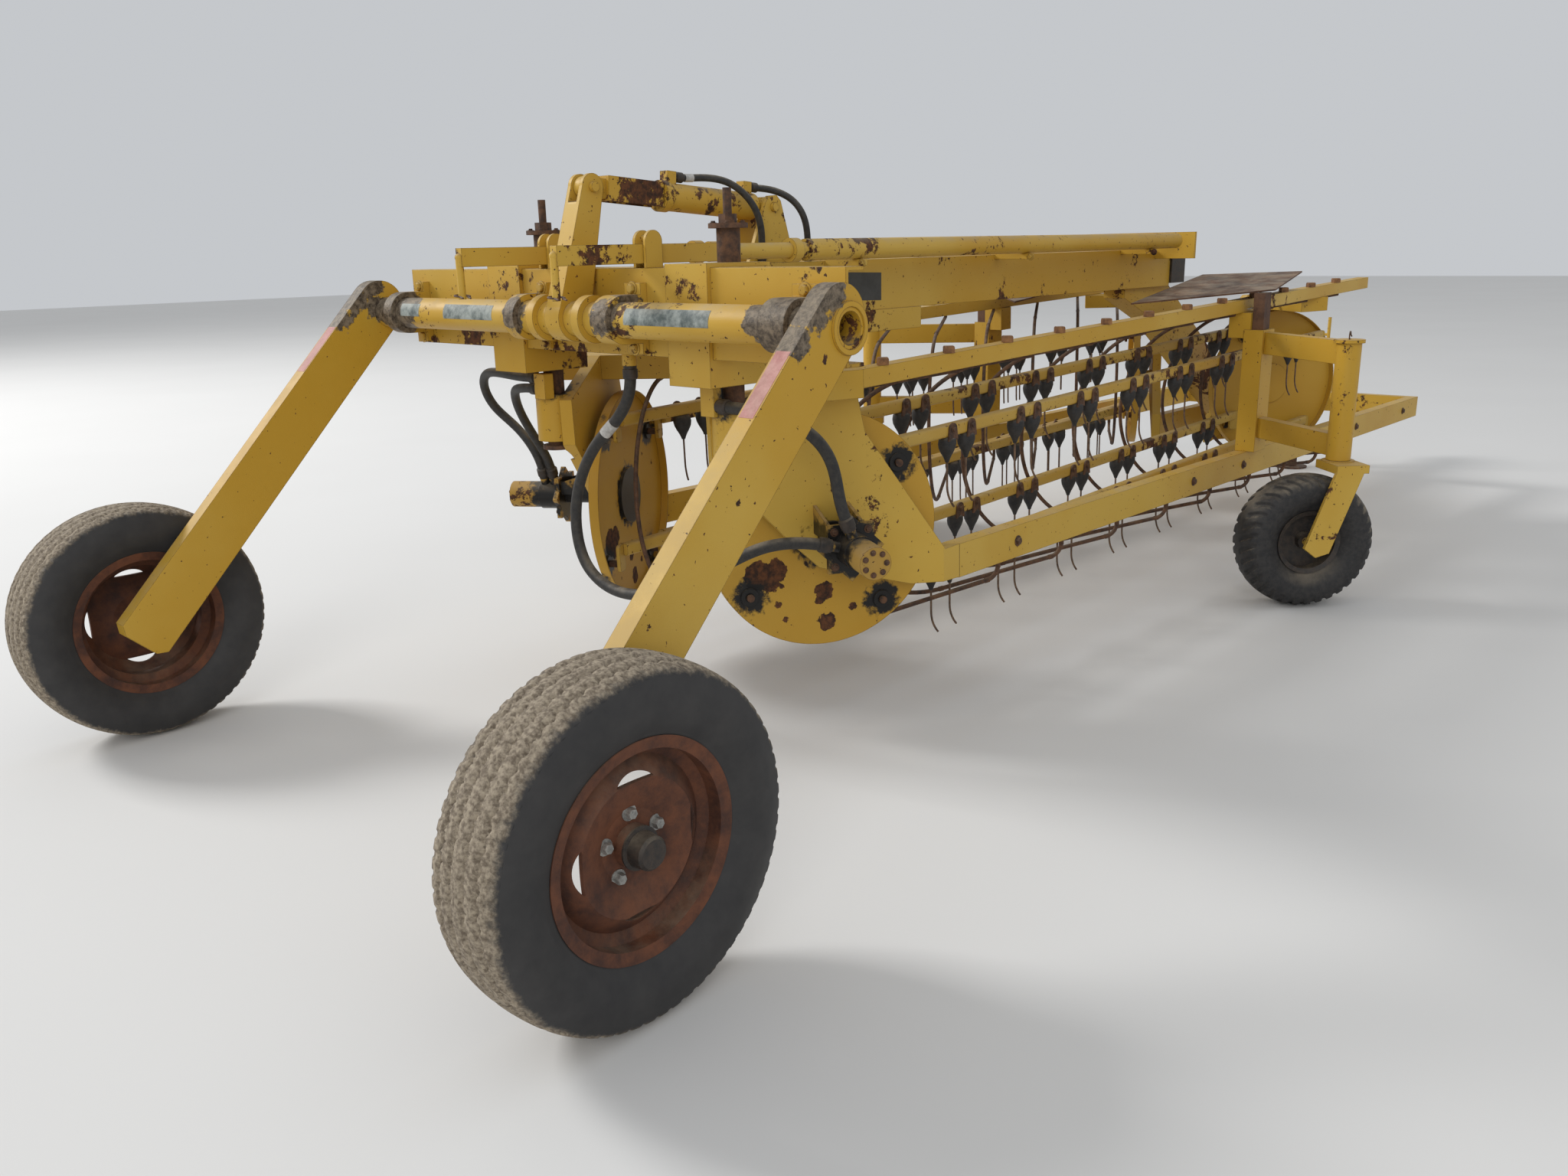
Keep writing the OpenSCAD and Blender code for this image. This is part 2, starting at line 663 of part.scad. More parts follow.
// Front head under the upper tube, which carries the front disc's bearing
module front_head() {
    difference() {
        at_disc(front_c) {
            translate([-70, head_top - 112, head_n]) cube([140, 62 - fit, 375]);
            translate([0, 0, head_n]) linear_extrude(40) {
                polygon([[-150, 300], [150, 300], [120, -60], [-50, -150],
                    [-275, head_low - 6], [-275, head_low + low_h + 10], [-160, 10]]);
                intersection() {
                    translate([0, 300]) circle(r = 150);
                    translate([-150, 200]) square([300, head_top - 250]);
                }
            }
        }
        at_disc(front_c) cylinder(r = axle_r + fit, h = 400, center = true);
        // The last stripper rod passes through the head
        at_stripper(tine_pairs) rod_between(strip_top,
            on_circle(strip_o, strip_r, strip_a0), -20, 0, rod_strip_r + fit);
    }
}
module front_head_right() { color(yellow) on_basket(1) front_head(); }
module front_head_left() { color(yellow) on_basket(-1) front_head(); }

// Caster mount: channel on the lower tube, strut up to the upper tube, two arms and post
mount_y = 2955;
mount_x = low_x + low_w / 2 + 30;
mount_top = 990;
mount_rise = (mount_y - disc_y) * slope;
mount_arm = [caster_x - mount_x + 12, caster_y - mount_y];
module caster_mount() {
    difference() {
        union() {
            box([low_x - low_w / 2, mount_y - 55, low_top + fit],
                [mount_x, mount_y + 55, mount_top]);
            pitched() box([top_x - 30, mount_y - 40, 885],
                [low_x, mount_y + 40, top_z - 50 - fit]);
            for (z = [[caster_post_z + 12, 80], [895, 85]])
                translate([mount_x - 12, mount_y, z[0]])
                    rotate([0, 0, atan2(mount_arm[1], mount_arm[0])])
                        translate([0, -25, 0]) cube([norm(mount_arm), 50, z[1]]);
            translate([caster_x, caster_y, caster_post_z])
                cylinder(r = caster_post_r, h = caster_post_top - caster_post_z);
            translate([caster_x, caster_y, caster_post_top - 12])
                cylinder(r = caster_post_r + 10, h = 12);
        }
        translate([caster_x, caster_y, caster_post_z - 1])
            cylinder(r = caster_pin_r + fit, h = caster_pin_l + 5);
    }
}
module caster_mount_right() { color(yellow) on_side(1) caster_mount(); }
module caster_mount_left() { color(yellow) on_side(-1) caster_mount(); }

// Strippers of one basket: one rod between each two pairs of tines, round the reel
strip_r = bar_circle + bar_w / 2 + 2 * strip_gap + bar_lift / 2 - 5;
strip_first = tine_end - tine_pitch / 2;
strip_o = [0, bar_lift / 2];
strip_top = [(top_x - disc_x + bar_gap * n_dir[0]) / h_dir[0],
    top_z - 50 - disc_z - rod_strip_r - fit];
strip_bend = 45;
strip_y = strip_first - bar_gap * n_dir[1];
strip_end = (low_x - disc_x + bar_gap * n_dir[0]) / h_dir[0];
top_v = strip_top - strip_o;
strip_a0 = atan2(top_v[1], top_v[0]) + acos(strip_r / norm(top_v));
// The lower tube is level, so each rod's lower end is a little further down in the reel's slope
function strip_low(k) = [strip_end, low_z - disc_z - 15 - 2 * fit
    - slope * (strip_y + k * tine_pitch + strip_end * h_dir[1])];
function strip_c(k) = strip_low(k) - [strip_bend, 0];
function low_v(k) = strip_c(k) - strip_o;
function strip_a1(k) = atan2(low_v(k)[1], low_v(k)[0])
    - acos((strip_r - strip_bend) / norm(low_v(k))) + 360;
function on_circle(c, r, a) = c + r * [cos(a), sin(a)];
// A straight rod from a to b, drawn in a little at an end that sits in a sleeve
module rod_between(a, b, in_a = 1, in_b = 1, r = rod_strip_r) {
    d = b - a;
    translate([a[0], a[1], 0]) rotate([0, 0, atan2(d[1], d[0])]) rotate([0, 90, 0])
        translate([0, 0, in_a]) cylinder(r = r, h = norm(d) - in_a - in_b, $fn = 16);
}
// An arc of rod, with a sleeve where it meets the straight rods
module rod_arc(c, r, a0, a1) {
    translate([c[0], c[1], 0]) rotate([0, 0, a0]) rotate_extrude(angle = a1 - a0, $fn = 48)
        translate([r, 0]) circle(r = rod_strip_r, $fn = 16);
    for (a = [a0, a1]) {
        e = on_circle(c, r, a);
        translate([e[0], e[1], 0]) rotate([0, 0, a + 90]) rotate([0, 90, 0])
            cylinder(r = rod_strip_r + 1.2, h = 14, center = true, $fn = 16);
    }
}
module stripper(k) {
    a1 = strip_a1(k);
    rod_between(strip_top, on_circle(strip_o, strip_r, strip_a0), 0);
    rod_arc(strip_o, strip_r, strip_a0, a1);
    rod_between(on_circle(strip_o, strip_r, a1), on_circle(strip_c(k), strip_bend, a1));
    rod_arc(strip_c(k), strip_bend, a1, 360);
    rod_between(strip_low(k), strip_low(k) + [0, 15], 1, 0);
}
module at_stripper(k) {
    at_disc([disc_x - bar_gap * n_dir[0], disc_y + strip_y + k * tine_pitch]) children();
}
module strippers() {
    for (k = [0 : tine_pairs]) at_stripper(k) stripper(k);
}
module strippers_right() { color(rust) on_basket(1) strippers(); }
module strippers_left() { color(rust) on_basket(-1) strippers(); }

// Hydraulic motor on the rear arm, with its star flange, gussets, fittings and end cap
flange_n = 210;
port_n = [flange_n + 36, flange_n + 68];
port_out = motor_r + 24;
port_r = 15;
// Angles of the two ports, from straight up
port_turns = [20, 20];
port_turns_right = [75, 20];
module motor(turns) {
    at_disc([disc_x, disc_y]) {
        translate([0, 0, arm_n + arm_t]) cylinder(r = 27, h = flange_n - arm_n - arm_t + 5);
        translate([0, 0, arm_n + arm_t]) cylinder(r = 42, h = 12);
        for (a = [0, 45]) translate([0, 0, flange_n]) rotate([0, 0, a])
            linear_extrude(16) square([132, 132], center = true);
        for (x = [-48, 48]) translate([x - 5, 30, arm_n + arm_t])
            rotate([0, 90, 0]) mirror([1, 0, 0]) linear_extrude(10)
                polygon([[0, 60], [0, -20], [flange_n - arm_n - arm_t + 2, -20],
                    [flange_n - arm_n - arm_t + 2, 20]]);
        translate([0, 0, flange_n + 16]) cylinder(r = motor_r + 4, h = 70);
        translate([0, 0, flange_n + 86]) cylinder(r = motor_r, h = motor_reach - flange_n - 86);
        for (i = [0, 1]) translate([0, 0, port_n[i]]) rotate([-90, 0, turns[i]])
            cylinder(r = port_r, h = port_out);
    }
}
module motor_right() { color(yellow) on_basket(1) motor(port_turns_right); }
module motor_left() { color(yellow) on_basket(-1) motor(port_turns); }

// Rusty cover plate over the reel: it lies on the upper tube and rises towards the front
cover_y = 2600;
cover_rise = 4.6;
module cover() {
    translate([0, cover_y, top_z + fit]) rotate([cover_rise, 0, 0]) linear_extrude(6)
        polygon([[270, 0], [690, 390], [600, 900], [200, 800]]);
    box([low_x + 2, mount_y - 30, mount_top - mount_rise + 1.2],
        [mount_x - 8, mount_y + 30, top_z + 26]);
}
module cover_right() { color(rust) on_basket(1) cover(); }
module cover_left() { color(rust) on_basket(-1) cover(); }

// Reel disc: plate, flange, axle and one bearing for each bar
disc_axle = 100;
disc_hub_r = 92;
module disc(face) {
    difference() {
        union() {
            translate([0, 0, -disc_t / 2]) cylinder(r = disc_r, h = disc_t, $fn = 120);
            rotate_extrude($fn = 120) translate([disc_r - 4, face > 0 ? -disc_rim : 0])
                square([4, disc_rim]);
            cylinder(r = disc_hub_r, h = 24, center = true);
            translate([0, 0, face > 0 ? 0 : -disc_axle])
                cylinder(r = axle_r, h = face > 0 ? arm_n + arm_t - fit : disc_axle);
            for (i = [0 : bar_count - 1]) rotate([0, 0, bar_phase + i * 360 / bar_count])
                translate([bar_circle, 0, 0]) cylinder(r = bar_pin_r + 16, h = 16, center = true);
        }
        for (i = [0 : bar_count - 1]) rotate([0, 0, bar_phase + i * 360 / bar_count])
            translate([bar_circle, 0, -20]) cylinder(r = bar_pin_r + fit, h = 40);
    }
}
module rear_disc_right() { color(yellow) on_basket(1) at_disc([disc_x, disc_y]) disc(1); }
module rear_disc_left() { color(yellow) on_basket(-1) at_disc([disc_x, disc_y]) disc(1); }
module front_disc_right() { color(yellow) on_basket(1) at_disc(front_c) disc(-1); }
module front_disc_left() { color(yellow) on_basket(-1) at_disc(front_c) disc(-1); }

// Tine: rubber holder under the bar, and a wire whose tip bends
bend_r = 110;
bend_a = 38;
holder_top = 26;
tine_straight = tine_drop - bar_w / 2 - bend_r * sin(bend_a);
module tine() {
    translate([0, 0, -bar_w / 2]) {
        translate([0, 0, -holder_top]) cylinder(r = holder_r, h = holder_top + 2);
        translate([0, 0, -holder_h]) cylinder(r1 = 6, r2 = holder_r, h = holder_h - holder_top);
        translate([0, 0, -tine_straight]) cylinder(r = tine_r, h = tine_straight - 10, $fn = 16);
        // The tip bends towards the outside of the basket, in the plane of the disc
        translate([0, 0, -tine_straight]) rotate([0, 0, disc_turn]) translate([bend_r, 0, 0])
            rotate([90, 0, 0]) rotate([0, 0, 180])
            rotate_extrude(angle = bend_a, $fn = 72) translate([bend_r, 0])
                circle(r = tine_r, $fn = 16);
    }
}

// One tine bar: tube, an upright end plate with a pivot pin at each end, and pairs of tines
tine_first = tine_end;
pin_out = 12;
module tine_bar(i) {
    a = bar_phase + (i - 1) * 360 / bar_count;
    translate([disc_x - bar_gap * n_dir[0] + bar_circle * cos(a) * h_dir[0],
        disc_y - bar_gap * n_dir[1] + bar_circle * cos(a) * h_dir[1],
        disc_z + bar_circle * sin(a)]) {
        translate([0, 0, bar_lift]) rotate([-90, 0, 0]) linear_extrude(bar_len)
            round_rect(bar_w, bar_w, 10);
        for (e = [0, 1]) translate([0, e * bar_len, 0]) rotate([0, 0, disc_turn])
            rotate([90, 0, 0]) {
                translate([0, 0, e == 0 ? 0 : -bar_gap - pin_out])
                    cylinder(r = bar_pin_r, h = bar_gap + pin_out);
                translate([0, 0, e == 0 ? 0 : -24]) cylinder(r = bar_pin_r + 5, h = 24);
                translate([-22, -24, e == 0 ? -6 : -6])
                    cube([44, bar_lift + bar_w / 2 + 24, 12]);
            }
        for (k = [0 : tine_pairs - 1], s = [-1, 1])
            translate([0, tine_first + k * tine_pitch + s * tine_gap / 2, bar_lift]) tine();
    }
}
module tine_bar_1_right() { color(yellow) on_basket(1) tine_bar(1); }
module tine_bar_2_right() { color(yellow) on_basket(1) tine_bar(2); }
module tine_bar_3_right() { color(yellow) on_basket(1) tine_bar(3); }
module tine_bar_4_right() { color(yellow) on_basket(1) tine_bar(4); }
module tine_bar_1_left() { color(yellow) on_basket(-1) tine_bar(1); }
module tine_bar_2_left() { color(yellow) on_basket(-1) tine_bar(2); }
module tine_bar_3_left() { color(yellow) on_basket(-1) tine_bar(3); }
module tine_bar_4_left() { color(yellow) on_basket(-1) tine_bar(4); }

// Caster: everything is drawn straight, then turned about its post
module at_caster() {
    translate([caster_x, caster_y, 0]) rotate([0, 0, -caster_turn]) children();
}
arm_x = caster_w / 2 + 14;
module caster_fork() {
    at_caster() {
        translate([0, 0, caster_post_z - 34]) cylinder(r = caster_pin_r, h = caster_pin_l + 30);
        translate([0, 0, caster_post_z - 34]) cylinder(r = caster_post_r + 14, h = 33);
        box([-45, -60, caster_post_z - 34], [arm_x + 14, 60, caster_post_z - 4]);
        translate([arm_x, 0, 0]) rotate([90, 0, 90]) linear_extrude(14) polygon([
            [-52, caster_post_z - 5], [52, caster_post_z - 5], [-60, caster_r - 30],
            [-110, caster_r - 45], [-155, caster_r - 10]]);
        translate([-20, -caster_trail, caster_r]) rotate([0, 90, 0])
            cylinder(r = 16, h = arm_x + 34);
    }
}
module caster_fork_right() { color(yellow) on_side(1) caster_fork(); }
module caster_fork_left() { color(yellow) on_side(-1) caster_fork(); }
module caster_tyre() {
    at_caster() translate([0, -caster_trail, caster_r])
        tyre(caster_r, caster_w, caster_rim_r * 0.9, caster_rim_r, 102, 0, 8);
}
module caster_tyre_right() { color(rubber) on_side(1) caster_tyre(); }
module caster_tyre_left() { color(rubber) on_side(-1) caster_tyre(); }
module caster_rim() {
    at_caster() translate([0, -caster_trail, caster_r]) rotate([0, 90, 0]) difference() {
        union() {
            rotate_extrude($fn = 72) polygon([
                [caster_rim_r, -62], [caster_rim_r, -57], [caster_rim_r * 0.9, -52],
                [caster_rim_r * 0.9, 52], [caster_rim_r, 57], [caster_rim_r, 62],
                [caster_rim_r * 0.86, 56], [caster_rim_r * 0.86, -56]]);
            translate([0, 0, 6]) cylinder(r = caster_rim_r * 0.88, h = 6);
            translate([0, 0, -40]) cylinder(r = 32, h = 80);
        }
        translate([0, 0, -60]) cylinder(r = 16 + fit, h = 120);
    }
}
module caster_rim_right() { color(black) on_side(1) caster_rim(); }
module caster_rim_left() { color(black) on_side(-1) caster_rim(); }

// Hoses: each is a tube swept along a smooth curve through its route's points
function unit(v) = v / norm(v);
// Smooth curve that starts and ends at the route's end points and along its end stretches
function between(p, i, t) = let (n = len(p) - 1,
    a = i == 0 ? 2 * p[0] - p[1] : p[i - 1],
    d = i == n - 1 ? 2 * p[n] - p[n - 1] : p[i + 2], u = 1 - t)
    (u * u * u * a + (3 * t * t * t - 6 * t * t + 4) * p[i]
        + (3 * t + 3 * t * t - 3 * t * t * t + 1) * p[i + 1] + t * t * t * d) / 6;
function curve(p, m) = concat([for (i = [0 : len(p) - 2], k = [0 : m - 1]) between(p, i, k / m)],
    [p[len(p) - 1]]);
// Directions of the rings: those at the ends follow the route's first and last stretch
function ring_dir(c, p, j) = j == 0 ? unit(p[1] - p[0])
    : j == len(c) - 1 ? unit(p[len(p) - 1] - p[len(p) - 2]) : unit(c[j + 1] - c[j - 1]);
hose_sides = 10;
module hose(p, r, m, ref) {
    c = curve(p, m);
    points = [for (j = [0 : len(c) - 1]) let (d = ring_dir(c, p, j), a = unit(cross(ref, d)),
        b = cross(d, a)) for (k = [0 : hose_sides - 1])
        c[j] + r * (cos(360 * k / hose_sides) * a + sin(360 * k / hose_sides) * b)];
    last = (len(c) - 1) * hose_sides;
    sides = [for (j = [0 : len(c) - 2], k = [0 : hose_sides - 1])
        let (q = j * hose_sides, k2 = (k + 1) % hose_sides)
        [q + k, q + hose_sides + k, q + hose_sides + k2, q + k2]];
    polyhedron(points, concat([[for (k = [0 : hose_sides - 1]) k]], sides,
        [[for (k = [0 : hose_sides - 1]) last + hose_sides - 1 - k]]), 2);
}
// A point of the basket in its own slope, and a point out of a motor's port at angle a
function sloped(p) = [p[0],
    disc_y + (p[1] - disc_y) * cos(basket_pitch) - (p[2] - disc_z) * sin(basket_pitch),
    disc_z + (p[1] - disc_y) * sin(basket_pitch) + (p[2] - disc_z) * cos(basket_pitch)];
function port(i, a, out) = sloped([
    disc_x - out * sin(a) * h_dir[0] + port_n[i] * n_dir[0],
    disc_y - out * sin(a) * h_dir[1] + port_n[i] * n_dir[1], disc_z + out * cos(a)]);
// A point of the lift cylinder, given along it and above its axis
function on_cylinder(y, z) = [0, cyl_pin_y + y * cos(cyl_tilt) + z * sin(cyl_tilt),
    cyl_pin_z - y * sin(cyl_tilt) + z * cos(cyl_tilt)];
seat = 0.2;
// Ends on the collar's block, one above the other, and under the cross-beam
block_low = [block_top[0] + seat, post_y - 55, collar_z + 157];
block_high = block_low + [0, 0, 32];
loop_port = [80, 130];
loop_port_z = 1050;
loop_end = [loop_port[0], loop_port[1], loop_port_z - seat];
function loop_route() = [port(0, port_turns_right[0], port_out + seat),
    port(0, port_turns_right[0], port_out + 83), [485, 190, 600], [370, 110, 515],
    [200, 80, 440], [30, 85, 405], [-125, 85, 460], [-160, 90, 610], [-120, 95, 740],
    [-50, 107, 840], [20, 122, 893], [80, 130, 972], loop_end];
function top_route() = [port(1, port_turns_right[1], port_out + seat),
    port(1, port_turns_right[1], port_out + 83), [635, 325, 810], [615, 275, 890],
    [555, 210, 940], block_low + [90, 0, 0], block_low];
function outer_route() = [port(1, port_turns[1], port_out + seat),
    port(1, port_turns[1], port_out + 83), [705, 310, 800], [760, 255, 863], [746, 210, 945],
    [680, 183, 992], [580, 165, 996], [480, 165, 988], block_high + [45, 0, 0], block_high];
function inner_route() = [port(0, port_turns[0], port_out + seat),
    port(0, port_turns[0], port_out + 73), [628, 305, 785], [625, 255, 870], [570, 205, 940],
    [490, 172, 952], block_low + [60, 0, 0], block_low];
function rear_route() = [on_cylinder(-barrel_len + 6 + seat, barrel_r + 17),
    on_cylinder(-barrel_len + 60, barrel_r + 17), [12, 500, 1545], [45, 570, 1535],
    [78, 625, 1480], [84, 655, 1415], [68, 670, beam_top + 45], [68, 670, beam_top + 0.8]];
function front_route() = [on_cylinder(-54 + seat, barrel_r + 17),
    on_cylinder(-5, barrel_r + 17), [14, 780, 1516], [56, 826, 1490], [86, 850, 1430],
    [72, 870, beam_top + 50], [72, 870, beam_top + 0.8]];
module hose_loop_right() {
    color(black) on_side(1) hose(loop_route(), loop_r, 2, [0.2, -1, 0.1]);
}
module hose_top_right() {
    color(black) on_side(1) hose(top_route(), loop_r, 2, [0.5, -1, -0.3]);
}
module hose_outer_left() {
    color(black) on_side(-1) hose(outer_route(), hose_r, 2, [0.2, -1, 0]);
}
module hose_inner_left() {
    color(black) on_side(-1) hose(inner_route(), hose_r, 2, [0.5, -1, 0]);
}
module hose_barrel_rear() {
    color(black) placed() hose(rear_route(), lift_hose_r, 2, [1, 0, 0]);
}
module hose_barrel_front() {
    color(black) placed() hose(front_route(), lift_hose_r, 2, [1, 0, 0]);
}

main_beam();
cross_beam();
tongue();
jack_leg();
bearing_blocks();
swing_posts();
link_bars();
valve_block();
rock_shaft();
legs();
tyre_right();
rim_right();
tyre_left();
rim_left();
lift_barrel();
lift_rod();
rear_arm_right();
basket_tubes_right();
front_head_right();
caster_mount_right();
strippers_right();
motor_right();
cover_right();
rear_disc_right();
front_disc_right();
tine_bar_1_right();
tine_bar_2_right();
tine_bar_3_right();
tine_bar_4_right();
caster_fork_right();
caster_tyre_right();
caster_rim_right();
rear_arm_left();
basket_tubes_left();
front_head_left();
caster_mount_left();
strippers_left();
motor_left();
cover_left();
rear_disc_left();
front_disc_left();
tine_bar_1_left();
tine_bar_2_left();
tine_bar_3_left();
tine_bar_4_left();
caster_fork_left();
caster_tyre_left();
caster_rim_left();
hose_loop_right();
hose_top_right();
hose_outer_left();
hose_inner_left();
hose_barrel_rear();
hose_barrel_front();
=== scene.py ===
# %% [markdown]
# # A twin-basket hay rake, folded for transport
# The rake hangs two slanted tine reels under a tall yellow frame. This notebook dresses the packed
# solids: it adds what is too fine for them (tread, rubber tine holders, bolts, clips and stickers),
# makes the hoses and the cross-beam's ends anew, and gives each surface a worn finish. Lengths are
# metres. A place is given in the drawing's frame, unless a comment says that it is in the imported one.

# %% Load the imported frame
import math
import bmesh
import bpy
import numpy as np
from mathutils import Matrix


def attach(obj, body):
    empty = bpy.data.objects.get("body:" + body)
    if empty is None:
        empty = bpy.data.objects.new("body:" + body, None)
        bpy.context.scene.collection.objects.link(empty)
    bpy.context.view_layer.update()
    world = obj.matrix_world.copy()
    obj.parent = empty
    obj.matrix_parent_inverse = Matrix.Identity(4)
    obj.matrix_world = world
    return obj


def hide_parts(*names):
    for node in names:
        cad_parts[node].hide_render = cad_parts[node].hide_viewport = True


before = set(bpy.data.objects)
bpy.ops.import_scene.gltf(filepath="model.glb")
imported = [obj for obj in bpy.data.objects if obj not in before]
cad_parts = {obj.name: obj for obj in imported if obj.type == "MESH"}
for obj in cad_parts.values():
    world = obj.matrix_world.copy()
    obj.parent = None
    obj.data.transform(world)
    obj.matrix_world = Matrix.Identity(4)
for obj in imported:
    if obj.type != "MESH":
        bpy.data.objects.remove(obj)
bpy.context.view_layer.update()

# %% [markdown]
# ## Camera
# The camera stands low behind the right rear wheel and looks forward along the machine. Its place and
# its three directions are worked out from the heading, the pitch and a slight roll, and then written
# into the object's matrix in one go, which is simpler than stacking three rotations.

# %% Camera
heading, dip, roll = 0.7487, 0.2701, -0.0218  # radians
level = np.array([math.cos(heading), math.sin(heading), 0.0])
flat_ahead = np.array([-math.sin(heading), math.cos(heading), 0.0])
ahead = math.cos(dip) * flat_ahead - [0, 0, math.sin(dip)]
upward = np.cross(level, ahead)
right = level * math.cos(roll) + upward * math.sin(roll)
up = upward * math.cos(roll) - level * math.sin(roll)
eye = (2.6618, -4.4431, 1.3497)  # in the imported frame
camera = bpy.data.objects.new("camera", bpy.data.cameras.new("camera"))
bpy.context.scene.collection.objects.link(camera)
camera.matrix_world = Matrix([[right[i], up[i], -ahead[i], eye[i]] for i in range(3)] + [[0, 0, 0, 1]])
camera.data.lens, camera.data.sensor_width = 28.29, 36.0
camera.data.clip_end = 200
bpy.context.scene.camera = camera
print("camera at", eye)

# %% [markdown]
# ## Places on the machine
# The drawing counts from the middle of the rock shaft on the ground. The two reels rise a little
# towards the front, and the left side mirrors the right one. Small functions turn places on a disc
# into places in the drawing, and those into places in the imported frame.

# %% Places
MID = 2.385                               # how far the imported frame's origin lies in front of the drawing's
SIDES = (("right", 1), ("left", -1))
REAR_WHEEL = (1.08, -0.8, 0.34)           # the right rear wheel's centre, whose height is its radius
SLOPE = math.radians(1.7)                 # how much a reel rises towards the front
DISC = np.array([0.425, 0.520, 0.575])    # the right rear disc's centre
SLANT = math.radians(60)                  # from straight across the machine to a disc's own direction
ALONG = np.array([math.cos(SLANT), math.sin(SLANT), 0.0])
OUT = np.array([math.sin(SLANT), -math.cos(SLANT), 0.0])
UP = np.array([0.0, 0.0, 1.0])
BAR_LENGTH, GAP = 3.310, 0.045            # a tine bar's length, and from its end to a disc's middle
BAR_CIRCLE, PHASE = 0.285, math.radians(37)   # the circle of the bars' pivots, and where the first is


def sloped(points):
    """A place in the reel's straight drawing, turned up by the slope about the rear disc's centre."""
    q = np.asarray(points, float) - DISC
    c, s = math.cos(SLOPE), math.sin(SLOPE)
    return np.stack([q[..., 0], c * q[..., 1] - s * q[..., 2], s * q[..., 1] + c * q[..., 2]], -1) + DISC


def placed(points, side=1):
    """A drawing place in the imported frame: mirrored for the left side, then moved back by MID."""
    return np.asarray(points, float) * [side, 1, 1] - [0, MID, 0]


def on_disc(along, height, out, front=False):
    """A place given in a disc's own directions: along it, up it and out of its face."""
    centre = DISC + ([-2 * GAP * OUT[0], BAR_LENGTH - 2 * GAP * OUT[1], 0] if front else [0, 0, 0])
    return centre + along * ALONG + height * UP + out * OUT


def pivot(i):
    """How far along and above a disc's centre bar i turns: a quarter of the circle from bar to bar."""
    a = PHASE + i * math.pi / 2
    return BAR_CIRCLE * math.cos(a), BAR_CIRCLE * math.sin(a)


print("front disc centre:", placed(sloped(on_disc(0, 0, 0, True))).round(3))

# %% [markdown]
# ## Mesh helpers
# Every new shape is a grid of points that numpy works out at once. `sweep` carries an outline along a
# path, `lathe` turns a profile about an axis, and `make` writes the finished arrays into a mesh.

# %% Grids of faces
def quads(rows, columns, ring=True):
    """Corner numbers of the faces of a rows x columns grid whose columns join up into a ring."""
    r, c = np.meshgrid(np.arange(rows - 1), np.arange(columns if ring else columns - 1), indexing="ij")
    n = (c + 1) % columns
    row, after = r * columns, (r + 1) * columns
    return np.stack([row + c, row + n, after + n, after + c], -1).reshape(-1, 4)


def unit(v):
    """The vector divided by its own length."""
    v = np.asarray(v, float)
    return v / np.maximum(np.linalg.norm(v, axis=-1, keepdims=True), 1e-12)


def sweep(path, outline, hint=(0, 0, 1)):
    """Surface = path point + a * side + b * top for each (a, b) of the outline. The top is the hint made
    square to the path at its start, and is then carried along without twisting. Both ends are closed."""
    path, outline = np.asarray(path, float), np.asarray(outline, float)
    steps = unit(np.gradient(path, axis=0))
    top = np.empty_like(path)
    t = np.asarray(hint, float)
    for i, d in enumerate(steps):
        t = unit(t - d * (t @ d))
        top[i] = t
    side = np.cross(steps, top)
    grid = path[:, None] + outline[None, :, :1] * side[:, None] + outline[None, :, 1:] * top[:, None]
    n, last = len(outline), (len(path) - 1) * len(outline)
    faces = [tuple(f) for f in quads(len(path), n)]
    faces += [tuple(range(n))[::-1], tuple(range(last, last + n))]
    return grid.reshape(-1, 3), faces


def circle(radius, count=12):
    """Outline with a = radius * cos(angle) and b = radius * sin(angle)."""
    a = np.arange(count) * 2 * np.pi / count
    return radius * np.stack([np.cos(a), np.sin(a)], -1)


def rounded(width, height, corner, steps=4):
    """Outline of a rectangle whose four corners are quarter circles."""
    a = np.linspace(0, np.pi / 2, steps)
    turns = np.concatenate([a + k * np.pi / 2 for k in range(4)])
    cx = np.repeat([1, -1, -1, 1], steps) * (width / 2 - corner)
    cy = np.repeat([1, 1, -1, -1], steps) * (height / 2 - corner)
    return np.stack([cx + corner * np.cos(turns), cy + corner * np.sin(turns)], -1)


def lathe(profile, centre, axis, steps=24, wave=None):
    """Surface = centre + s * axis + r * (cos, sin) for each (s, r) of the profile. A wave(s, angle) may
    take something off the radius."""
    profile = np.asarray(profile, float)
    axis = unit(axis)
    first = unit(np.cross(axis, [0.3, 0.2, 0.9] if abs(axis[2]) < 0.9 else [1, 0, 0]))
    second = np.cross(axis, first)
    a = np.arange(steps) * 2 * np.pi / steps
    r = np.repeat(profile[:, 1:], steps, 1)
    if wave is not None:
        r = r - wave(profile[:, :1], profile[:, 1:], a[None])
    ring = first * np.cos(a)[:, None] + second * np.sin(a)[:, None]
    grid = np.asarray(centre) + profile[:, :1, None] * axis + r[..., None] * ring
    return grid.reshape(-1, 3), [tuple(f) for f in quads(len(profile), steps)]


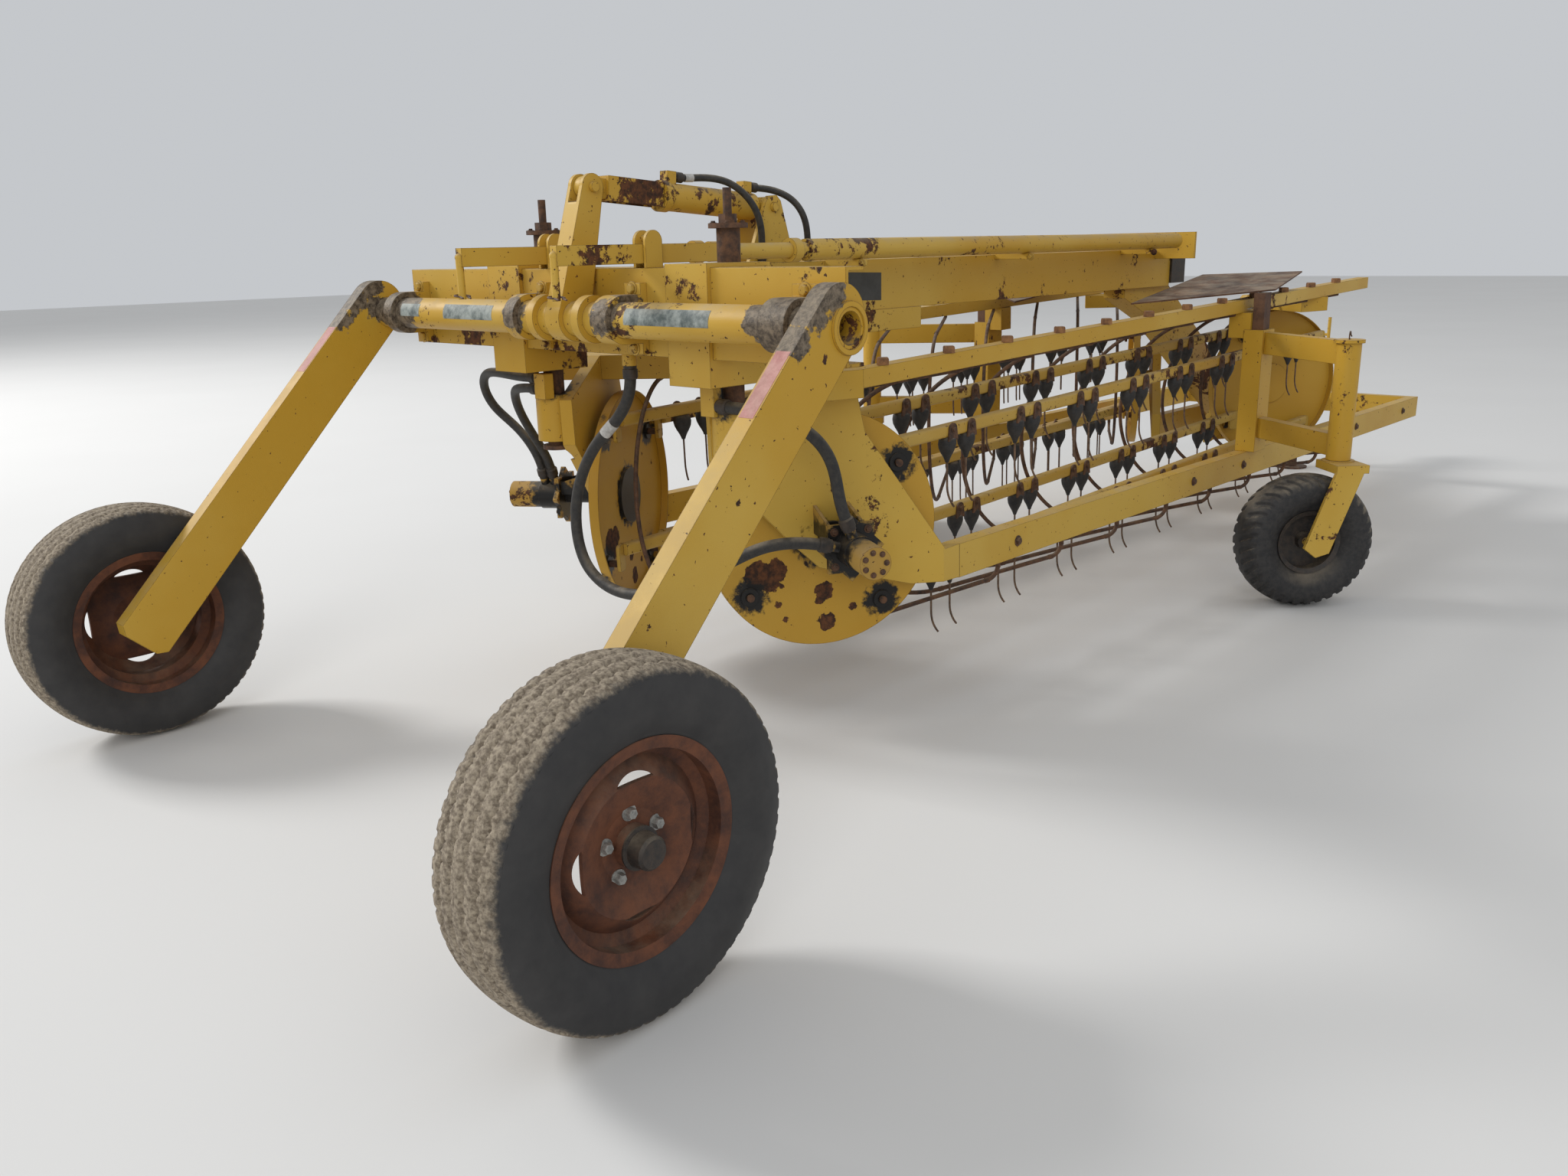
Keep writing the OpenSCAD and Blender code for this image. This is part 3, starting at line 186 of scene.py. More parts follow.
# %% Making an object from several surfaces
def make(name, parts, material, body, sharp=35, replaces=()):
    """Puts surfaces into one mesh, merges doubled points, turns all faces outward and rides on a body."""
    counts = np.cumsum([0] + [len(p[0]) for p in parts])
    points = np.concatenate([p[0] for p in parts])
    faces = [tuple(int(i) + int(c) for i in f) for p, c in zip(parts, counts) for f in p[1]]
    mesh = bpy.data.meshes.new(name)
    mesh.from_pydata(points.tolist(), [], faces)
    work = bmesh.new()
    work.from_mesh(mesh)
    bmesh.ops.remove_doubles(work, verts=work.verts, dist=1e-6)
    bmesh.ops.dissolve_degenerate(work, edges=work.edges, dist=1e-7)
    bmesh.ops.recalc_face_normals(work, faces=work.faces)
    work.to_mesh(mesh)
    work.free()
    mesh.polygons.foreach_set("use_smooth", np.ones(len(mesh.polygons), bool))
    mesh.set_sharp_from_angle(angle=math.radians(sharp))
    piece = bpy.data.objects.new(name, mesh)
    bpy.context.scene.collection.objects.link(piece)
    piece.data.materials.append(material)
    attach(piece, body)
    if replaces:
        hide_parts(*replaces)
    return piece


def bolt(point, axis, radius, height):
    """A hexagon head on a round washer: two short turned profiles about the bolt's axis."""
    a = unit(axis)
    head = [(0.002, 0), (0.002, radius), (height * 0.8, radius), (height, radius * 0.86), (height, 0)]
    washer = [(-0.001, 0), (-0.001, radius * 1.45), (0.002, radius * 1.45), (0.0021, radius * 0.9)]
    return [lathe(head, point, a, 6), lathe(washer, point, a, 14)]


def bolt_ring(count, start, reach, place, axis, radius, height):
    """Bolts evenly round a circle from a start angle in degrees. place(a, b) is the point that lies a and
    b from its centre, with a = reach * cos(angle) and b = reach * sin(angle)."""
    angles = np.radians(start + np.arange(count) * 360 / count)
    return [part for a in angles
            for part in bolt(place(reach * math.cos(a), reach * math.sin(a)), axis, radius, height)]


print("mesh helpers ready")

# %% [markdown]
# ## Finishes
# Old paint shows three things at once: large brown patches where it has flaked, fine specks, and a pale
# film of dust on what looks up. One node group works these out from the object's own coordinates, so
# that they stay on the piece when it moves, and every paint uses the group with its own amounts.

# %% Node helpers
def node(tree, kind, *inputs, **settings):
    """Adds one shader node. A socket among the inputs is linked and a number is set."""
    n = tree.nodes.new("ShaderNode" + kind)
    for key, value in settings.items():
        setattr(n, key, value)
    for socket, value in zip(n.inputs, inputs):
        if isinstance(value, bpy.types.NodeSocket):
            tree.links.new(value, socket)
        elif value is not None:
            socket.default_value = value
    return n


def calc(tree, operation, *values):
    """The result of a Math node."""
    return node(tree, "Math", *values, operation=operation).outputs[0]


def blended(tree, amount, a, b):
    """Colour a where the amount is 0 and colour b where it is 1."""
    n = tree.nodes.new("ShaderNodeMix")
    n.data_type = "RGBA"
    for i, value in ((0, amount), (6, a), (7, b)):
        if isinstance(value, bpy.types.NodeSocket):
            tree.links.new(value, n.inputs[i])
        else:
            n.inputs[i].default_value = (*value, 1) if i else value
    return n.outputs[2]


def step(tree, value, low, high):
    """0 below low, 1 above high, and a smooth rise between."""
    return node(tree, "MapRange", value, low, high, 0.0, 1.0, interpolation_type="SMOOTHSTEP").outputs[0]


def noise(tree, coords, scale, detail=4.0, rough=0.6):
    """Cloudy noise from 0 to 1 at that many cells a metre."""
    return node(tree, "TexNoise", coords, None, scale, detail, rough).outputs[0]


# %% The weathering group
def weathering():
    """Masks for flaked patches, specks, faded areas and dust, and a height for the bump."""
    t = bpy.data.node_groups.new("weathering", "ShaderNodeTree")
    for name, value in (("Patches", 0.5), ("Specks", 0.5), ("Dust", 0.5), ("Grain", 1.0)):
        s = t.interface.new_socket(name=name, in_out="INPUT", socket_type="NodeSocketFloat")
        s.default_value = value
    for name in ("Patch", "Speck", "Fade", "Dust", "Height"):
        t.interface.new_socket(name=name, in_out="OUTPUT", socket_type="NodeSocketFloat")
    given, out = t.nodes.new("NodeGroupInput"), t.nodes.new("NodeGroupOutput")
    coords = node(t, "TexCoord").outputs["Object"]
    large, fine = noise(t, coords, 3.1, 3.0), noise(t, coords, 34.0, 6.0, 0.7)
    both = calc(t, "MULTIPLY_ADD", large, 0.62, calc(t, "MULTIPLY", fine, 0.38))
    edge = calc(t, "SUBTRACT", 0.74, calc(t, "MULTIPLY", given.outputs[0], 0.3))
    patch = step(t, calc(t, "SUBTRACT", both, edge), 0.0, 0.02)
    dots = noise(t, coords, 75.0, 2.0)
    limit = calc(t, "SUBTRACT", 0.8, calc(t, "MULTIPLY", given.outputs[1], 0.22))
    speck = step(t, calc(t, "SUBTRACT", dots, limit), 0.0, 0.03)
    fade = step(t, noise(t, coords, 1.3, 4.0, 0.55), 0.35, 0.68)
    facing = node(t, "SeparateXYZ", node(t, "NewGeometry").outputs["Normal"]).outputs[2]
    film = calc(t, "MULTIPLY", step(t, facing, 0.15, 1.0),
                step(t, noise(t, coords, 11.0, 5.0, 0.7), 0.3, 0.7))
    dust = calc(t, "MULTIPLY", film, given.outputs[2])
    grain = calc(t, "MULTIPLY", noise(t, coords, 420.0, 2.0), given.outputs[3])
    height = calc(t, "MULTIPLY_ADD", patch, -1.4, grain)
    for i, socket in enumerate((patch, speck, fade, dust, height)):
        t.links.new(socket, out.inputs[i])
    return t


WEATHERING = weathering()
print("weathering group with", len(WEATHERING.nodes), "nodes")


# %% Spots at known places
def nearness(tree, coords, spots, ragged=0.5):
    """The largest of (radius - distance) over all spots, made ragged with noise. It is above 0 inside."""
    reach = 0.08 * ragged
    wobble = noise(tree, coords, 38.0, 5.0, 0.65)
    result = None
    for x, y, z, r in spots:
        d = node(tree, "VectorMath", coords, (x, y, z), operation="DISTANCE").outputs["Value"]
        inside = calc(tree, "SUBTRACT", r, d)
        result = inside if result is None else calc(tree, "MAXIMUM", result, inside)
    return calc(tree, "ADD", result, calc(tree, "MULTIPLY_ADD", wobble, reach, -reach / 2))


def new_material(name):
    """An empty node tree with its Principled shader and the object's own coordinates."""
    m = bpy.data.materials.new(name)
    m.use_nodes = True
    t = m.node_tree
    return m, t, t.nodes["Principled BSDF"], node(t, "TexCoord").outputs["Object"]


RUST_DARK, RUST_WARM = (0.035, 0.018, 0.012), (0.13, 0.05, 0.02)
GREASE = (0.012, 0.011, 0.010)
DUST = (0.42, 0.35, 0.25)
SOIL_DARK, SOIL_PALE = (0.05, 0.036, 0.024), (0.22, 0.17, 0.115)
EDGE_WORN = (0.094, 0.134)   # how sharp an edge is where its paint starts to go, and where it is gone


def paint(name, colour, faded, patches, specks, dust, spots=(), grease=(), caked=()):
    """Worn paint: the colour and its faded shade, flaked to rust in patches, at edges and at given
    spots, with grease or caked dirt at other spots and dust on top."""
    m, t, shader, coords = new_material(name)
    w = node(t, "Group", node_tree=WEATHERING)
    for i, value in enumerate((patches, specks, dust, 1.0)):
        w.inputs[i].default_value = value
    soft = node(t, "Bevel", 0.004, samples=4)
    true = node(t, "NewGeometry").outputs["True Normal"]
    same = node(t, "VectorMath", soft.outputs[0], true, operation="DOT_PRODUCT").outputs["Value"]
    worn = calc(t, "MULTIPLY", calc(t, "SUBTRACT", 1.0, same), noise(t, coords, 18.0, 5.0, 0.7))
    worn = step(t, worn, *EDGE_WORN)
    bare = calc(t, "MAXIMUM", w.outputs[0], w.outputs[1])
    bare = calc(t, "MAXIMUM", bare, worn)
    if spots:
        bare = calc(t, "MAXIMUM", bare, step(t, nearness(t, coords, spots), 0.0, 0.002))
    top = blended(t, w.outputs[2], colour, faded)
    rust = blended(t, step(t, noise(t, coords, 55.0, 5.0, 0.7), 0.35, 0.65), RUST_DARK, RUST_WARM)
    base = blended(t, bare, top, rust)
    if grease:
        oily = step(t, nearness(t, coords, grease, 1.2), 0.0, 0.022)
        base = blended(t, oily, base, GREASE)
    if caked:
        crust = step(t, nearness(t, coords, caked, 1.0), 0.0, 0.008)
        clods = step(t, noise(t, coords, 60.0, 6.0, 0.75), 0.35, 0.65)
        base = blended(t, crust, base, blended(t, clods, SOIL_DARK, SOIL_PALE))
    base = blended(t, w.outputs[3], base, DUST)
    t.links.new(base, shader.inputs["Base Color"])
    rough = calc(t, "MULTIPLY_ADD", bare, 0.38, 0.46)
    shader.inputs["Specular IOR Level"].default_value = 0.3
    if grease:
        rough = calc(t, "MULTIPLY_ADD", oily, -0.15, rough)
    t.links.new(calc(t, "MULTIPLY_ADD", w.outputs[3], 0.5, rough), shader.inputs["Roughness"])
    bump = node(t, "Bump")
    bump.inputs["Strength"].default_value, bump.inputs["Distance"].default_value = 0.35, 0.0012
    height = w.outputs[4]
    if caked:
        lumps = calc(t, "MULTIPLY", crust, noise(t, coords, 70.0, 6.0, 0.75))
        height = calc(t, "MULTIPLY_ADD", lumps, 7.0, height)
    t.links.new(height, bump.inputs["Height"])
    t.links.new(soft.outputs[0], bump.inputs["Normal"])
    t.links.new(bump.outputs[0], shader.inputs["Normal"])
    return m


def rough_surface(name, dark, light, scale, dust, rough=(0.6, 0.9), metal=0.0, bump=0.5):
    """Rust, rubber and bare metal: two shades in cloudy noise with dust on top and a bumpy surface."""
    m, t, shader, coords = new_material(name)
    w = node(t, "Group", node_tree=WEATHERING)
    w.inputs[2].default_value = dust
    cloud = noise(t, coords, scale, 6.0, 0.7)
    base = blended(t, step(t, cloud, 0.3, 0.7), dark, light)
    base = blended(t, w.outputs[3], base, DUST)
    t.links.new(base, shader.inputs["Base Color"])
    t.links.new(calc(t, "MULTIPLY_ADD", cloud, rough[1] - rough[0], rough[0]), shader.inputs["Roughness"])
    shader.inputs["Metallic"].default_value = metal
    relief = node(t, "Bump")
    relief.inputs["Strength"].default_value, relief.inputs["Distance"].default_value = bump, 0.002
    t.links.new(noise(t, coords, scale * 4, 5.0, 0.7), relief.inputs["Height"])
    t.links.new(relief.outputs[0], shader.inputs["Normal"])
    return m


YELLOW, PALE = (0.50, 0.285, 0.025), (0.56, 0.36, 0.06)
print("finish helpers ready")

# %% [markdown]
# ## Spots seen on the machine
# Grease sits round each pivot, and a few flaked places are large enough to know the machine by. They
# are given as a place and a radius and are the same on both sides, since both reels wear alike.

# %% Where grease and rust sit
def both_sides(points):
    """The same spots on the right and on the left, as (x, y, z, radius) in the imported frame."""
    return [(*placed(p, s), r) for p, r in points for _, s in SIDES]


pivots = [(sloped(on_disc(*pivot(i), 0)), 0.062) for i in range(4)]
pivots_front = [(sloped(on_disc(*pivot(i), 0, True)), 0.035) for i in range(4)]
flaked = [(sloped(on_disc(a, z, 0)), r) for a, z, r in (
    (0.013, 0.28, 0.014), (-0.195, -0.112, 0.045), (-0.150, -0.105, 0.036), (-0.165, -0.14, 0.03),
    (-0.008, -0.18, 0.028), (-0.02, -0.205, 0.016), (0.001, -0.275, 0.027), (-0.143, -0.205, 0.012),
    (0.081, -0.236, 0.011), (0.116, 0.192, 0.004), (0.148, 0.156, 0.004), (0.156, 0.106, 0.005),
    (0.248, 0.057, 0.007), (-0.125, -0.251, 0.008), (-0.133, -0.152, 0.008), (-0.057, -0.091, 0.006))]
hub_grease = [(sloped(on_disc(0.0, 0.0, n)), 0.115) for n in (0.0, 0.024)]
motor_oil = [(sloped(on_disc(0, 0, n)), r) for n, r in (
    (0.22, 0.095), (0.28, 0.075), (0.15, 0.09), (0.08, 0.09))]
motor_grease = [(sloped(on_disc(a, z, n)), r) for a, z, n, r in (
    (0.02, 0.05, 0.16, 0.09), (-0.06, 0.02, 0.15, 0.08), (0.05, -0.02, 0.18, 0.06),
    (0.06, 0.12, 0.17, 0.035))]
post_grease = [(np.array([0.38, 0.22, z]), r) for z, r in ((0.955, 0.07), (0.90, 0.05), (0.80, 0.04))]
crusts = [(np.array([x, y, z]), r) for x, y, z, r in (
    (0.78, -0.03, 1.19, 0.085), (0.72, -0.03, 1.20, 0.05), (0.85, -0.04, 1.20, 0.07),
    (0.93, -0.06, 1.27, 0.06), (0.93, -0.11, 1.22, 0.055), (0.93, -0.16, 1.17, 0.05),
    (0.19, -0.04, 1.19, 0.05), (0.21, 0.02, 1.23, 0.04))]
leg_rust = [(np.array([0.955, 0.06, 1.235]), 0.012), (np.array([0.955, -0.08, 1.12]), 0.009),
            (np.array([0.955, -0.35, 0.86]), 0.006), (np.array([0.955, -0.60, 0.66]), 0.008)]
print(len(flaked), "flaked places,", len(pivots) * 4, "greased pivots")

# %% Materials
frame_paint = paint("frame_paint", YELLOW, PALE, 0.58, 0.52, 0.5, caked=both_sides(crusts))
leg_paint = paint("leg_paint", YELLOW, PALE, 0.20, 0.42, 0.4,
                  spots=both_sides(leg_rust), caked=both_sides(crusts))
disc_paint = paint("disc_paint", (0.47, 0.25, 0.018), (0.50, 0.29, 0.035), 0.05, 0.35, 0.25,
                   spots=both_sides(flaked), grease=both_sides(pivots + pivots_front + hub_grease))
basket_paint = paint("basket_paint", YELLOW, PALE, 0.42, 0.48, 0.45,
                     grease=both_sides(post_grease + motor_grease))
bar_paint = paint("bar_paint", (0.46, 0.27, 0.035), (0.50, 0.33, 0.07), 0.62, 0.6, 0.4)
motor_paint = paint("motor_paint", (0.45, 0.25, 0.03), (0.36, 0.22, 0.05), 0.35, 0.6, 0.3,
                    grease=both_sides(motor_oil))
rusty_plate = rough_surface("rusty_plate", (0.045, 0.02, 0.012), (0.16, 0.075, 0.035), 9.0, 0.5)
rim_rust = rough_surface("rim_rust", (0.04, 0.014, 0.008), (0.15, 0.05, 0.02), 12.0, 0.25)
rusty_steel = rough_surface("rusty_steel", (0.03, 0.015, 0.01), (0.14, 0.065, 0.03), 40.0, 0.3)
wire_steel = rough_surface("wire_steel", (0.06, 0.035, 0.022), (0.20, 0.12, 0.07), 60.0, 0.2,
                           (0.45, 0.7), 0.3)
holder_rubber = rough_surface("holder_rubber", (0.010, 0.010, 0.011), (0.035, 0.032, 0.03), 50.0, 0.5,
                              (0.5, 0.8))
dark_iron = rough_surface("dark_iron", (0.012, 0.011, 0.010), (0.05, 0.035, 0.025), 45.0, 0.35, (0.4, 0.75))
hose_rubber = rough_surface("hose_rubber", (0.012, 0.012, 0.013), (0.04, 0.036, 0.03), 60.0, 0.6,
                            (0.45, 0.75))
nut_rust = rough_surface("nut_rust", (0.09, 0.035, 0.015), (0.32, 0.15, 0.05), 35.0, 0.3)
bright_bolt = rough_surface("bright_bolt", (0.20, 0.20, 0.19), (0.42, 0.41, 0.38), 90.0, 0.2,
                            (0.35, 0.6), 0.6, 0.2)
print("materials:", len(bpy.data.materials))

# %% [markdown]
# ## Hoses
# Each reel's motor is fed by two rubber hoses, and the lift cylinder by two more. A hose is a round
# outline swept along a smooth curve through a few chosen points. The curve is a cubic B-spline, whose
# bends never jump, and it leaves each fitting straight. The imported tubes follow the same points.

# %% Hose curves
def extended(points):
    """The points with one more beyond each end, as far on as its neighbour lies back."""
    p = np.asarray(points, float)
    return np.concatenate([2 * p[:1] - p[1:2], p, 2 * p[-1:] - p[-2:-1]])


def spline(points, steps=10):
    """Cubic B-spline through each four points in turn. The added ones make it start and end at the first
    and last point and run along the first and last stretch there."""
    p = extended(points)
    t = (np.arange(steps) / steps)[None, :, None]
    a, b, c, d = (q[:, None] for q in (p[:-3], p[1:-2], p[2:-1], p[3:]))
    curve = ((1 - t)**3 * a + (3 * t**3 - 6 * t**2 + 4) * b
             + (-3 * t**3 + 3 * t**2 + 3 * t + 1) * c + t**3 * d) / 6
    return np.concatenate([curve.reshape(-1, 3), p[-2:-1]])


def port(out, angle, reach):
    """A point out of a motor's port: that far from the motor's axis, and turned from straight up."""
    a = math.radians(angle)
    return sloped(on_disc(-reach * math.sin(a), reach * math.cos(a), out))


def on_cylinder(y, z):
    """A point of the lift cylinder, given from its front pin along it and above its axis."""
    fall = math.atan2(0.046, 0.657)
    c, s = math.cos(fall), math.sin(fall)
    return [0, CYLINDER_PIN[0] + y * c + z * s, CYLINDER_PIN[1] - y * s + z * c]


CYLINDER_PIN = (0.737, 1.464)   # the place and height of the lift cylinder's front pin
HOSES = (                       # name, side, radius, body, and the points of the curve
    ("hose_loop_right", 1, 0.016, "basket_right", [
        port(0.246, 75, 0.0672), port(0.246, 75, 0.150), (0.485, 0.190, 0.600), (0.370, 0.110, 0.515),
        (0.200, 0.080, 0.440), (0.030, 0.085, 0.405), (-0.125, 0.085, 0.460), (-0.160, 0.090, 0.610),
        (-0.120, 0.095, 0.740), (-0.050, 0.107, 0.840), (0.020, 0.122, 0.893), (0.080, 0.130, 0.972),
        (0.080, 0.130, 1.0498)]),
    ("hose_top_right", 1, 0.016, "basket_right", [
        port(0.278, 20, 0.0672), port(0.278, 20, 0.150), (0.635, 0.325, 0.810), (0.615, 0.275, 0.890),
        (0.555, 0.210, 0.940), (0.4712, 0.165, 0.957), (0.3812, 0.165, 0.957)]),
    ("hose_outer_left", -1, 0.014, "basket_left", [
        port(0.278, 20, 0.0672), port(0.278, 20, 0.150), (0.705, 0.310, 0.800), (0.760, 0.255, 0.863),
        (0.746, 0.210, 0.945), (0.680, 0.183, 0.992), (0.580, 0.165, 0.996), (0.480, 0.165, 0.988),
        (0.4262, 0.165, 0.989), (0.3812, 0.165, 0.989)]),
    ("hose_inner_left", -1, 0.014, "basket_left", [
        port(0.246, 20, 0.0672), port(0.246, 20, 0.140), (0.628, 0.305, 0.785), (0.625, 0.255, 0.870),
        (0.570, 0.205, 0.940), (0.490, 0.172, 0.952), (0.4412, 0.165, 0.957), (0.3812, 0.165, 0.957)]),
    ("hose_barrel_rear", 1, 0.010, "cylinder", [
        on_cylinder(-0.3538, 0.055), on_cylinder(-0.300, 0.055), (0.012, 0.500, 1.545),
        (0.045, 0.570, 1.535), (0.078, 0.625, 1.480), (0.084, 0.655, 1.415), (0.068, 0.670, 1.350),
        (0.068, 0.670, 1.3058)]),
    ("hose_barrel_front", 1, 0.010, "cylinder", [
        on_cylinder(-0.0538, 0.055), on_cylinder(-0.005, 0.055), (0.014, 0.780, 1.516),
        (0.056, 0.826, 1.490), (0.086, 0.850, 1.430), (0.072, 0.870, 1.355), (0.072, 0.870, 1.3058)]))
print("hoses:", len(HOSES))

# %% Build the hoses
TAPED = {"hose_loop_right": 0.78, "hose_barrel_rear": 0.12}   # where white tape sits, as a share of the way
TAPE_POINTS = 6                                               # how many points of the curve it covers
HINT = (0.2, 0.9, 0.3)
tape_white = rough_surface("tape_white", (0.30, 0.29, 0.27), (0.58, 0.57, 0.54), 50.0, 0.3,
                           (0.5, 0.7), 0.0, 0.2)
for name, side, radius, body, points in HOSES:
    line = placed(spline(points), side)
    rubber = [sweep(line, circle(radius, 16), HINT)]
    hose = make(name + "_rubber", rubber, hose_rubber, body, 50, [name])
    neck, barrel = radius + 0.002, radius + 0.0045
    profile = [(0, 0), (0, neck), (0.008, neck), (0.009, barrel), (0.032, barrel), (0.036, radius + 0.001),
               (0.0362, radius - 0.002)]
    crimps = [lathe(profile, start, following - start, 20)
              for start, following in ((line[0], line[1]), (line[-1], line[-2]))]
    ferrules = make(name + "_ferrules", crimps, dark_iron, body)
    if name in TAPED:
        k = int(TAPED[name] * len(line))
        band = [sweep(line[k:k + TAPE_POINTS], circle(radius + 0.0012, 16), HINT)]
        make(name + "_tape", band, tape_white, body, 50)

# %% [markdown]
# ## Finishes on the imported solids
# The solids keep their shape. Each one only gets its finish, chosen by the longest start of its name
# that is in the list, or else the frame's paint.

# %% Dress the solids
FINISH = {
    "hose": hose_rubber, "tyre": holder_rubber, "rim": rim_rust, "caster_rim": dark_iron,
    "caster_tyre": holder_rubber, "legs": leg_paint, "rear_disc": disc_paint, "front_disc": disc_paint,
    "cover": rusty_plate, "strippers": rusty_steel, "motor": motor_paint, "swing_posts": rusty_steel,
    "jack_leg": rusty_steel, "valve_block": dark_iron, "rear_arm": basket_paint, "front_head": basket_paint,
    "basket_tubes": basket_paint, "caster_mount": basket_paint, "caster_fork": basket_paint,
    "tine_bar": bar_paint}
longest_first = sorted(FINISH, key=len, reverse=True)
for name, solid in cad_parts.items():
    finish = next((FINISH[k] for k in longest_first if name.startswith(k)), frame_paint)
    solid.data.materials.clear()
    solid.data.materials.append(finish)
print("dressed", len(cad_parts), "solids")

# %% [markdown]
# ## Open ends of the cross-beam
# Beyond its two sleeves the cross-beam is a steel channel that is open to the front, and its ends have
# no caps. The solid is a plain box with caps there. The sleeves and their bores are right as they are,
# so a merged copy of the solid is cut with boxes, which is surer than drawing the whole beam again.

# %% Cut the cross-beam's ends
def cutting_box(low, high):
    """A closed box between two corners, as an object."""
    corners = [[x, y, z] for x in (low[0], high[0]) for y in (low[1], high[1]) for z in (low[2], high[2])]
    mesh = bpy.data.meshes.new("cutter")
    mesh.from_pydata(corners, [], [(0, 1, 3, 2), (4, 6, 7, 5), (0, 4, 5, 1),
                                   (2, 3, 7, 6), (0, 2, 6, 4), (1, 5, 7, 3)])
    cutter = bpy.data.objects.new("cutter", mesh)
    bpy.context.scene.collection.objects.link(cutter)
    return cutter


WEB, FLANGE = 0.009, 0.062            # the channel's thickness, and how wide its flanges are
ROOT, TIP, BEYOND = 0.470, 0.880, 0.96   # where the channel starts and ends, and a place outside the beam
BACK, BOTTOM, TOP = 0.080, 1.085, 1.305  # the beam's rear, lower and upper faces
CUTS = (                                 # inner end, rear, front, bottom and top of each box
    (ROOT, BACK + FLANGE, 0.32, 1.00, 1.40),
    (ROOT, BACK + WEB, 0.15, BOTTOM + WEB, TOP - WEB),
    (TIP, 0.05, 0.32, 1.00, 1.40))
beam_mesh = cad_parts["cross_beam"].data.copy()
work = bmesh.new()
work.from_mesh(beam_mesh)
bmesh.ops.remove_doubles(work, verts=work.verts, dist=1e-6)
work.to_mesh(beam_mesh)
work.free()
channel = bpy.data.objects.new("cross_beam_channel", beam_mesh)
bpy.context.scene.collection.objects.link(channel)
cutters = []
for side in (1, -1):
    for x0, y0, y1, z0, z1 in CUTS:
        ends = sorted((side * x0, side * BEYOND))
        cutters.append(cutting_box((ends[0], y0 - MID, z0), (ends[1], y1 - MID, z1)))
        cut = channel.modifiers.new("cut", "BOOLEAN")
        cut.operation, cut.solver, cut.object = "DIFFERENCE", "EXACT", cutters[-1]
bpy.context.view_layer.update()
whole = channel.evaluated_get(bpy.context.evaluated_depsgraph_get())
cut_mesh = bpy.data.meshes.new_from_object(whole)
channel.modifiers.clear()
channel.data = cut_mesh
for cutter in cutters:
    bpy.data.objects.remove(cutter)
channel.data.materials.clear()
channel.data.materials.append(frame_paint)
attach(channel, "frame")
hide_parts("cross_beam")
print("cross-beam channel:", len(channel.data.polygons), "faces")

# %% [markdown]
# ## Rear tyres
# These are old implement tyres with five ribs. The section is one smooth curve from bead to bead, and
# the grooves between the ribs run in a zigzag. Turning the curve about the axle gives the tyre, and the
# zigzag is taken off its radius as a function of the place across the tread and the angle.

# %% Rubber with mud on the tread
def tyre_material(name, axle, tread):
    """Dark rubber whose tread, told by its distance from the axle, is caked with pale mud."""
    m, t, shader, coords = new_material(name)
    from_axle = node(t, "VectorMath", coords, axle, operation="SUBTRACT").outputs[0]
    across = node(t, "VectorMath", from_axle, (0, 1, 1), operation="MULTIPLY").outputs[0]
    distance = node(t, "VectorMath", across, operation="LENGTH").outputs["Value"]
    cloud = noise(t, coords, 45.0, 6.0, 0.75)
    mud = step(t, calc(t, "MULTIPLY_ADD", cloud, 0.03, distance), tread + 0.008, tread + 0.022)
    rubber = blended(t, noise(t, coords, 20.0, 5.0), (0.012, 0.012, 0.013), (0.045, 0.042, 0.04))
    clods = step(t, noise(t, coords, 120.0, 4.0), 0.3, 0.7)
    soil = blended(t, clods, (0.13, 0.10, 0.07), (0.36, 0.30, 0.22))
    t.links.new(blended(t, mud, rubber, soil), shader.inputs["Base Color"])
    t.links.new(calc(t, "MULTIPLY_ADD", mud, 0.3, 0.62), shader.inputs["Roughness"])
    relief = node(t, "Bump")
    relief.inputs["Strength"].default_value, relief.inputs["Distance"].default_value = 0.7, 0.003
    t.links.new(calc(t, "MULTIPLY", cloud, mud), relief.inputs["Height"])
    t.links.new(relief.outputs[0], shader.inputs["Normal"])
    return m


def smooth_curve(points, count):
    """A curve through the points: each stretch is a cubic whose slope at a point is that of its
    neighbours (Catmull-Rom)."""
    p = extended(points)
    u = np.linspace(0, len(points) - 1 - 1e-9, count)
    k, f = u.astype(int), (u % 1)[:, None]
    a, b, c, d = p[k], p[k + 1], p[k + 2], p[k + 3]
    return 0.5 * (2 * b + (c - a) * f + (2 * a - 5 * b + 4 * c - d) * f**2 + (3 * b - a - 3 * c + d) * f**3)


def tyre_profile(half, inner, count, inner_count):
    """A closed section: half of the outside and its mirror image, then the inside back to the start."""
    outside = half + [(-s, r) for s, r in half[-2::-1]]
    return np.concatenate([smooth_curve(outside, count), smooth_curve(inner, inner_count), [outside[0]]])


def triangle_wave(x):
    """Goes from -1 to 1 and back once for each whole number."""
    return 2 * np.abs(2 * (x % 1) - 1) - 1


ZIGZAGS = 64


def rear_tread(s, r, angle):
    """Four zigzag grooves 7 mm deep, and shallow cuts in both shoulders, where the radius is largest."""
    turns = angle * ZIGZAGS / (2 * np.pi)
    depth = 0
    for k, g in enumerate((-0.052, -0.018, 0.018, 0.052)):
        middle = g + 0.0042 * triangle_wave(turns + 0.5 * (k % 2))
        depth = np.maximum(depth, 0.007 * np.clip(1.6 - np.abs(s - middle) / 0.0035, 0, 1))
    sipes = 0.003 * (np.abs(np.abs(s) - 0.079) < 0.011) * (triangle_wave(turns) > 0.35)
    return (depth + sipes) * (r > 0.318)


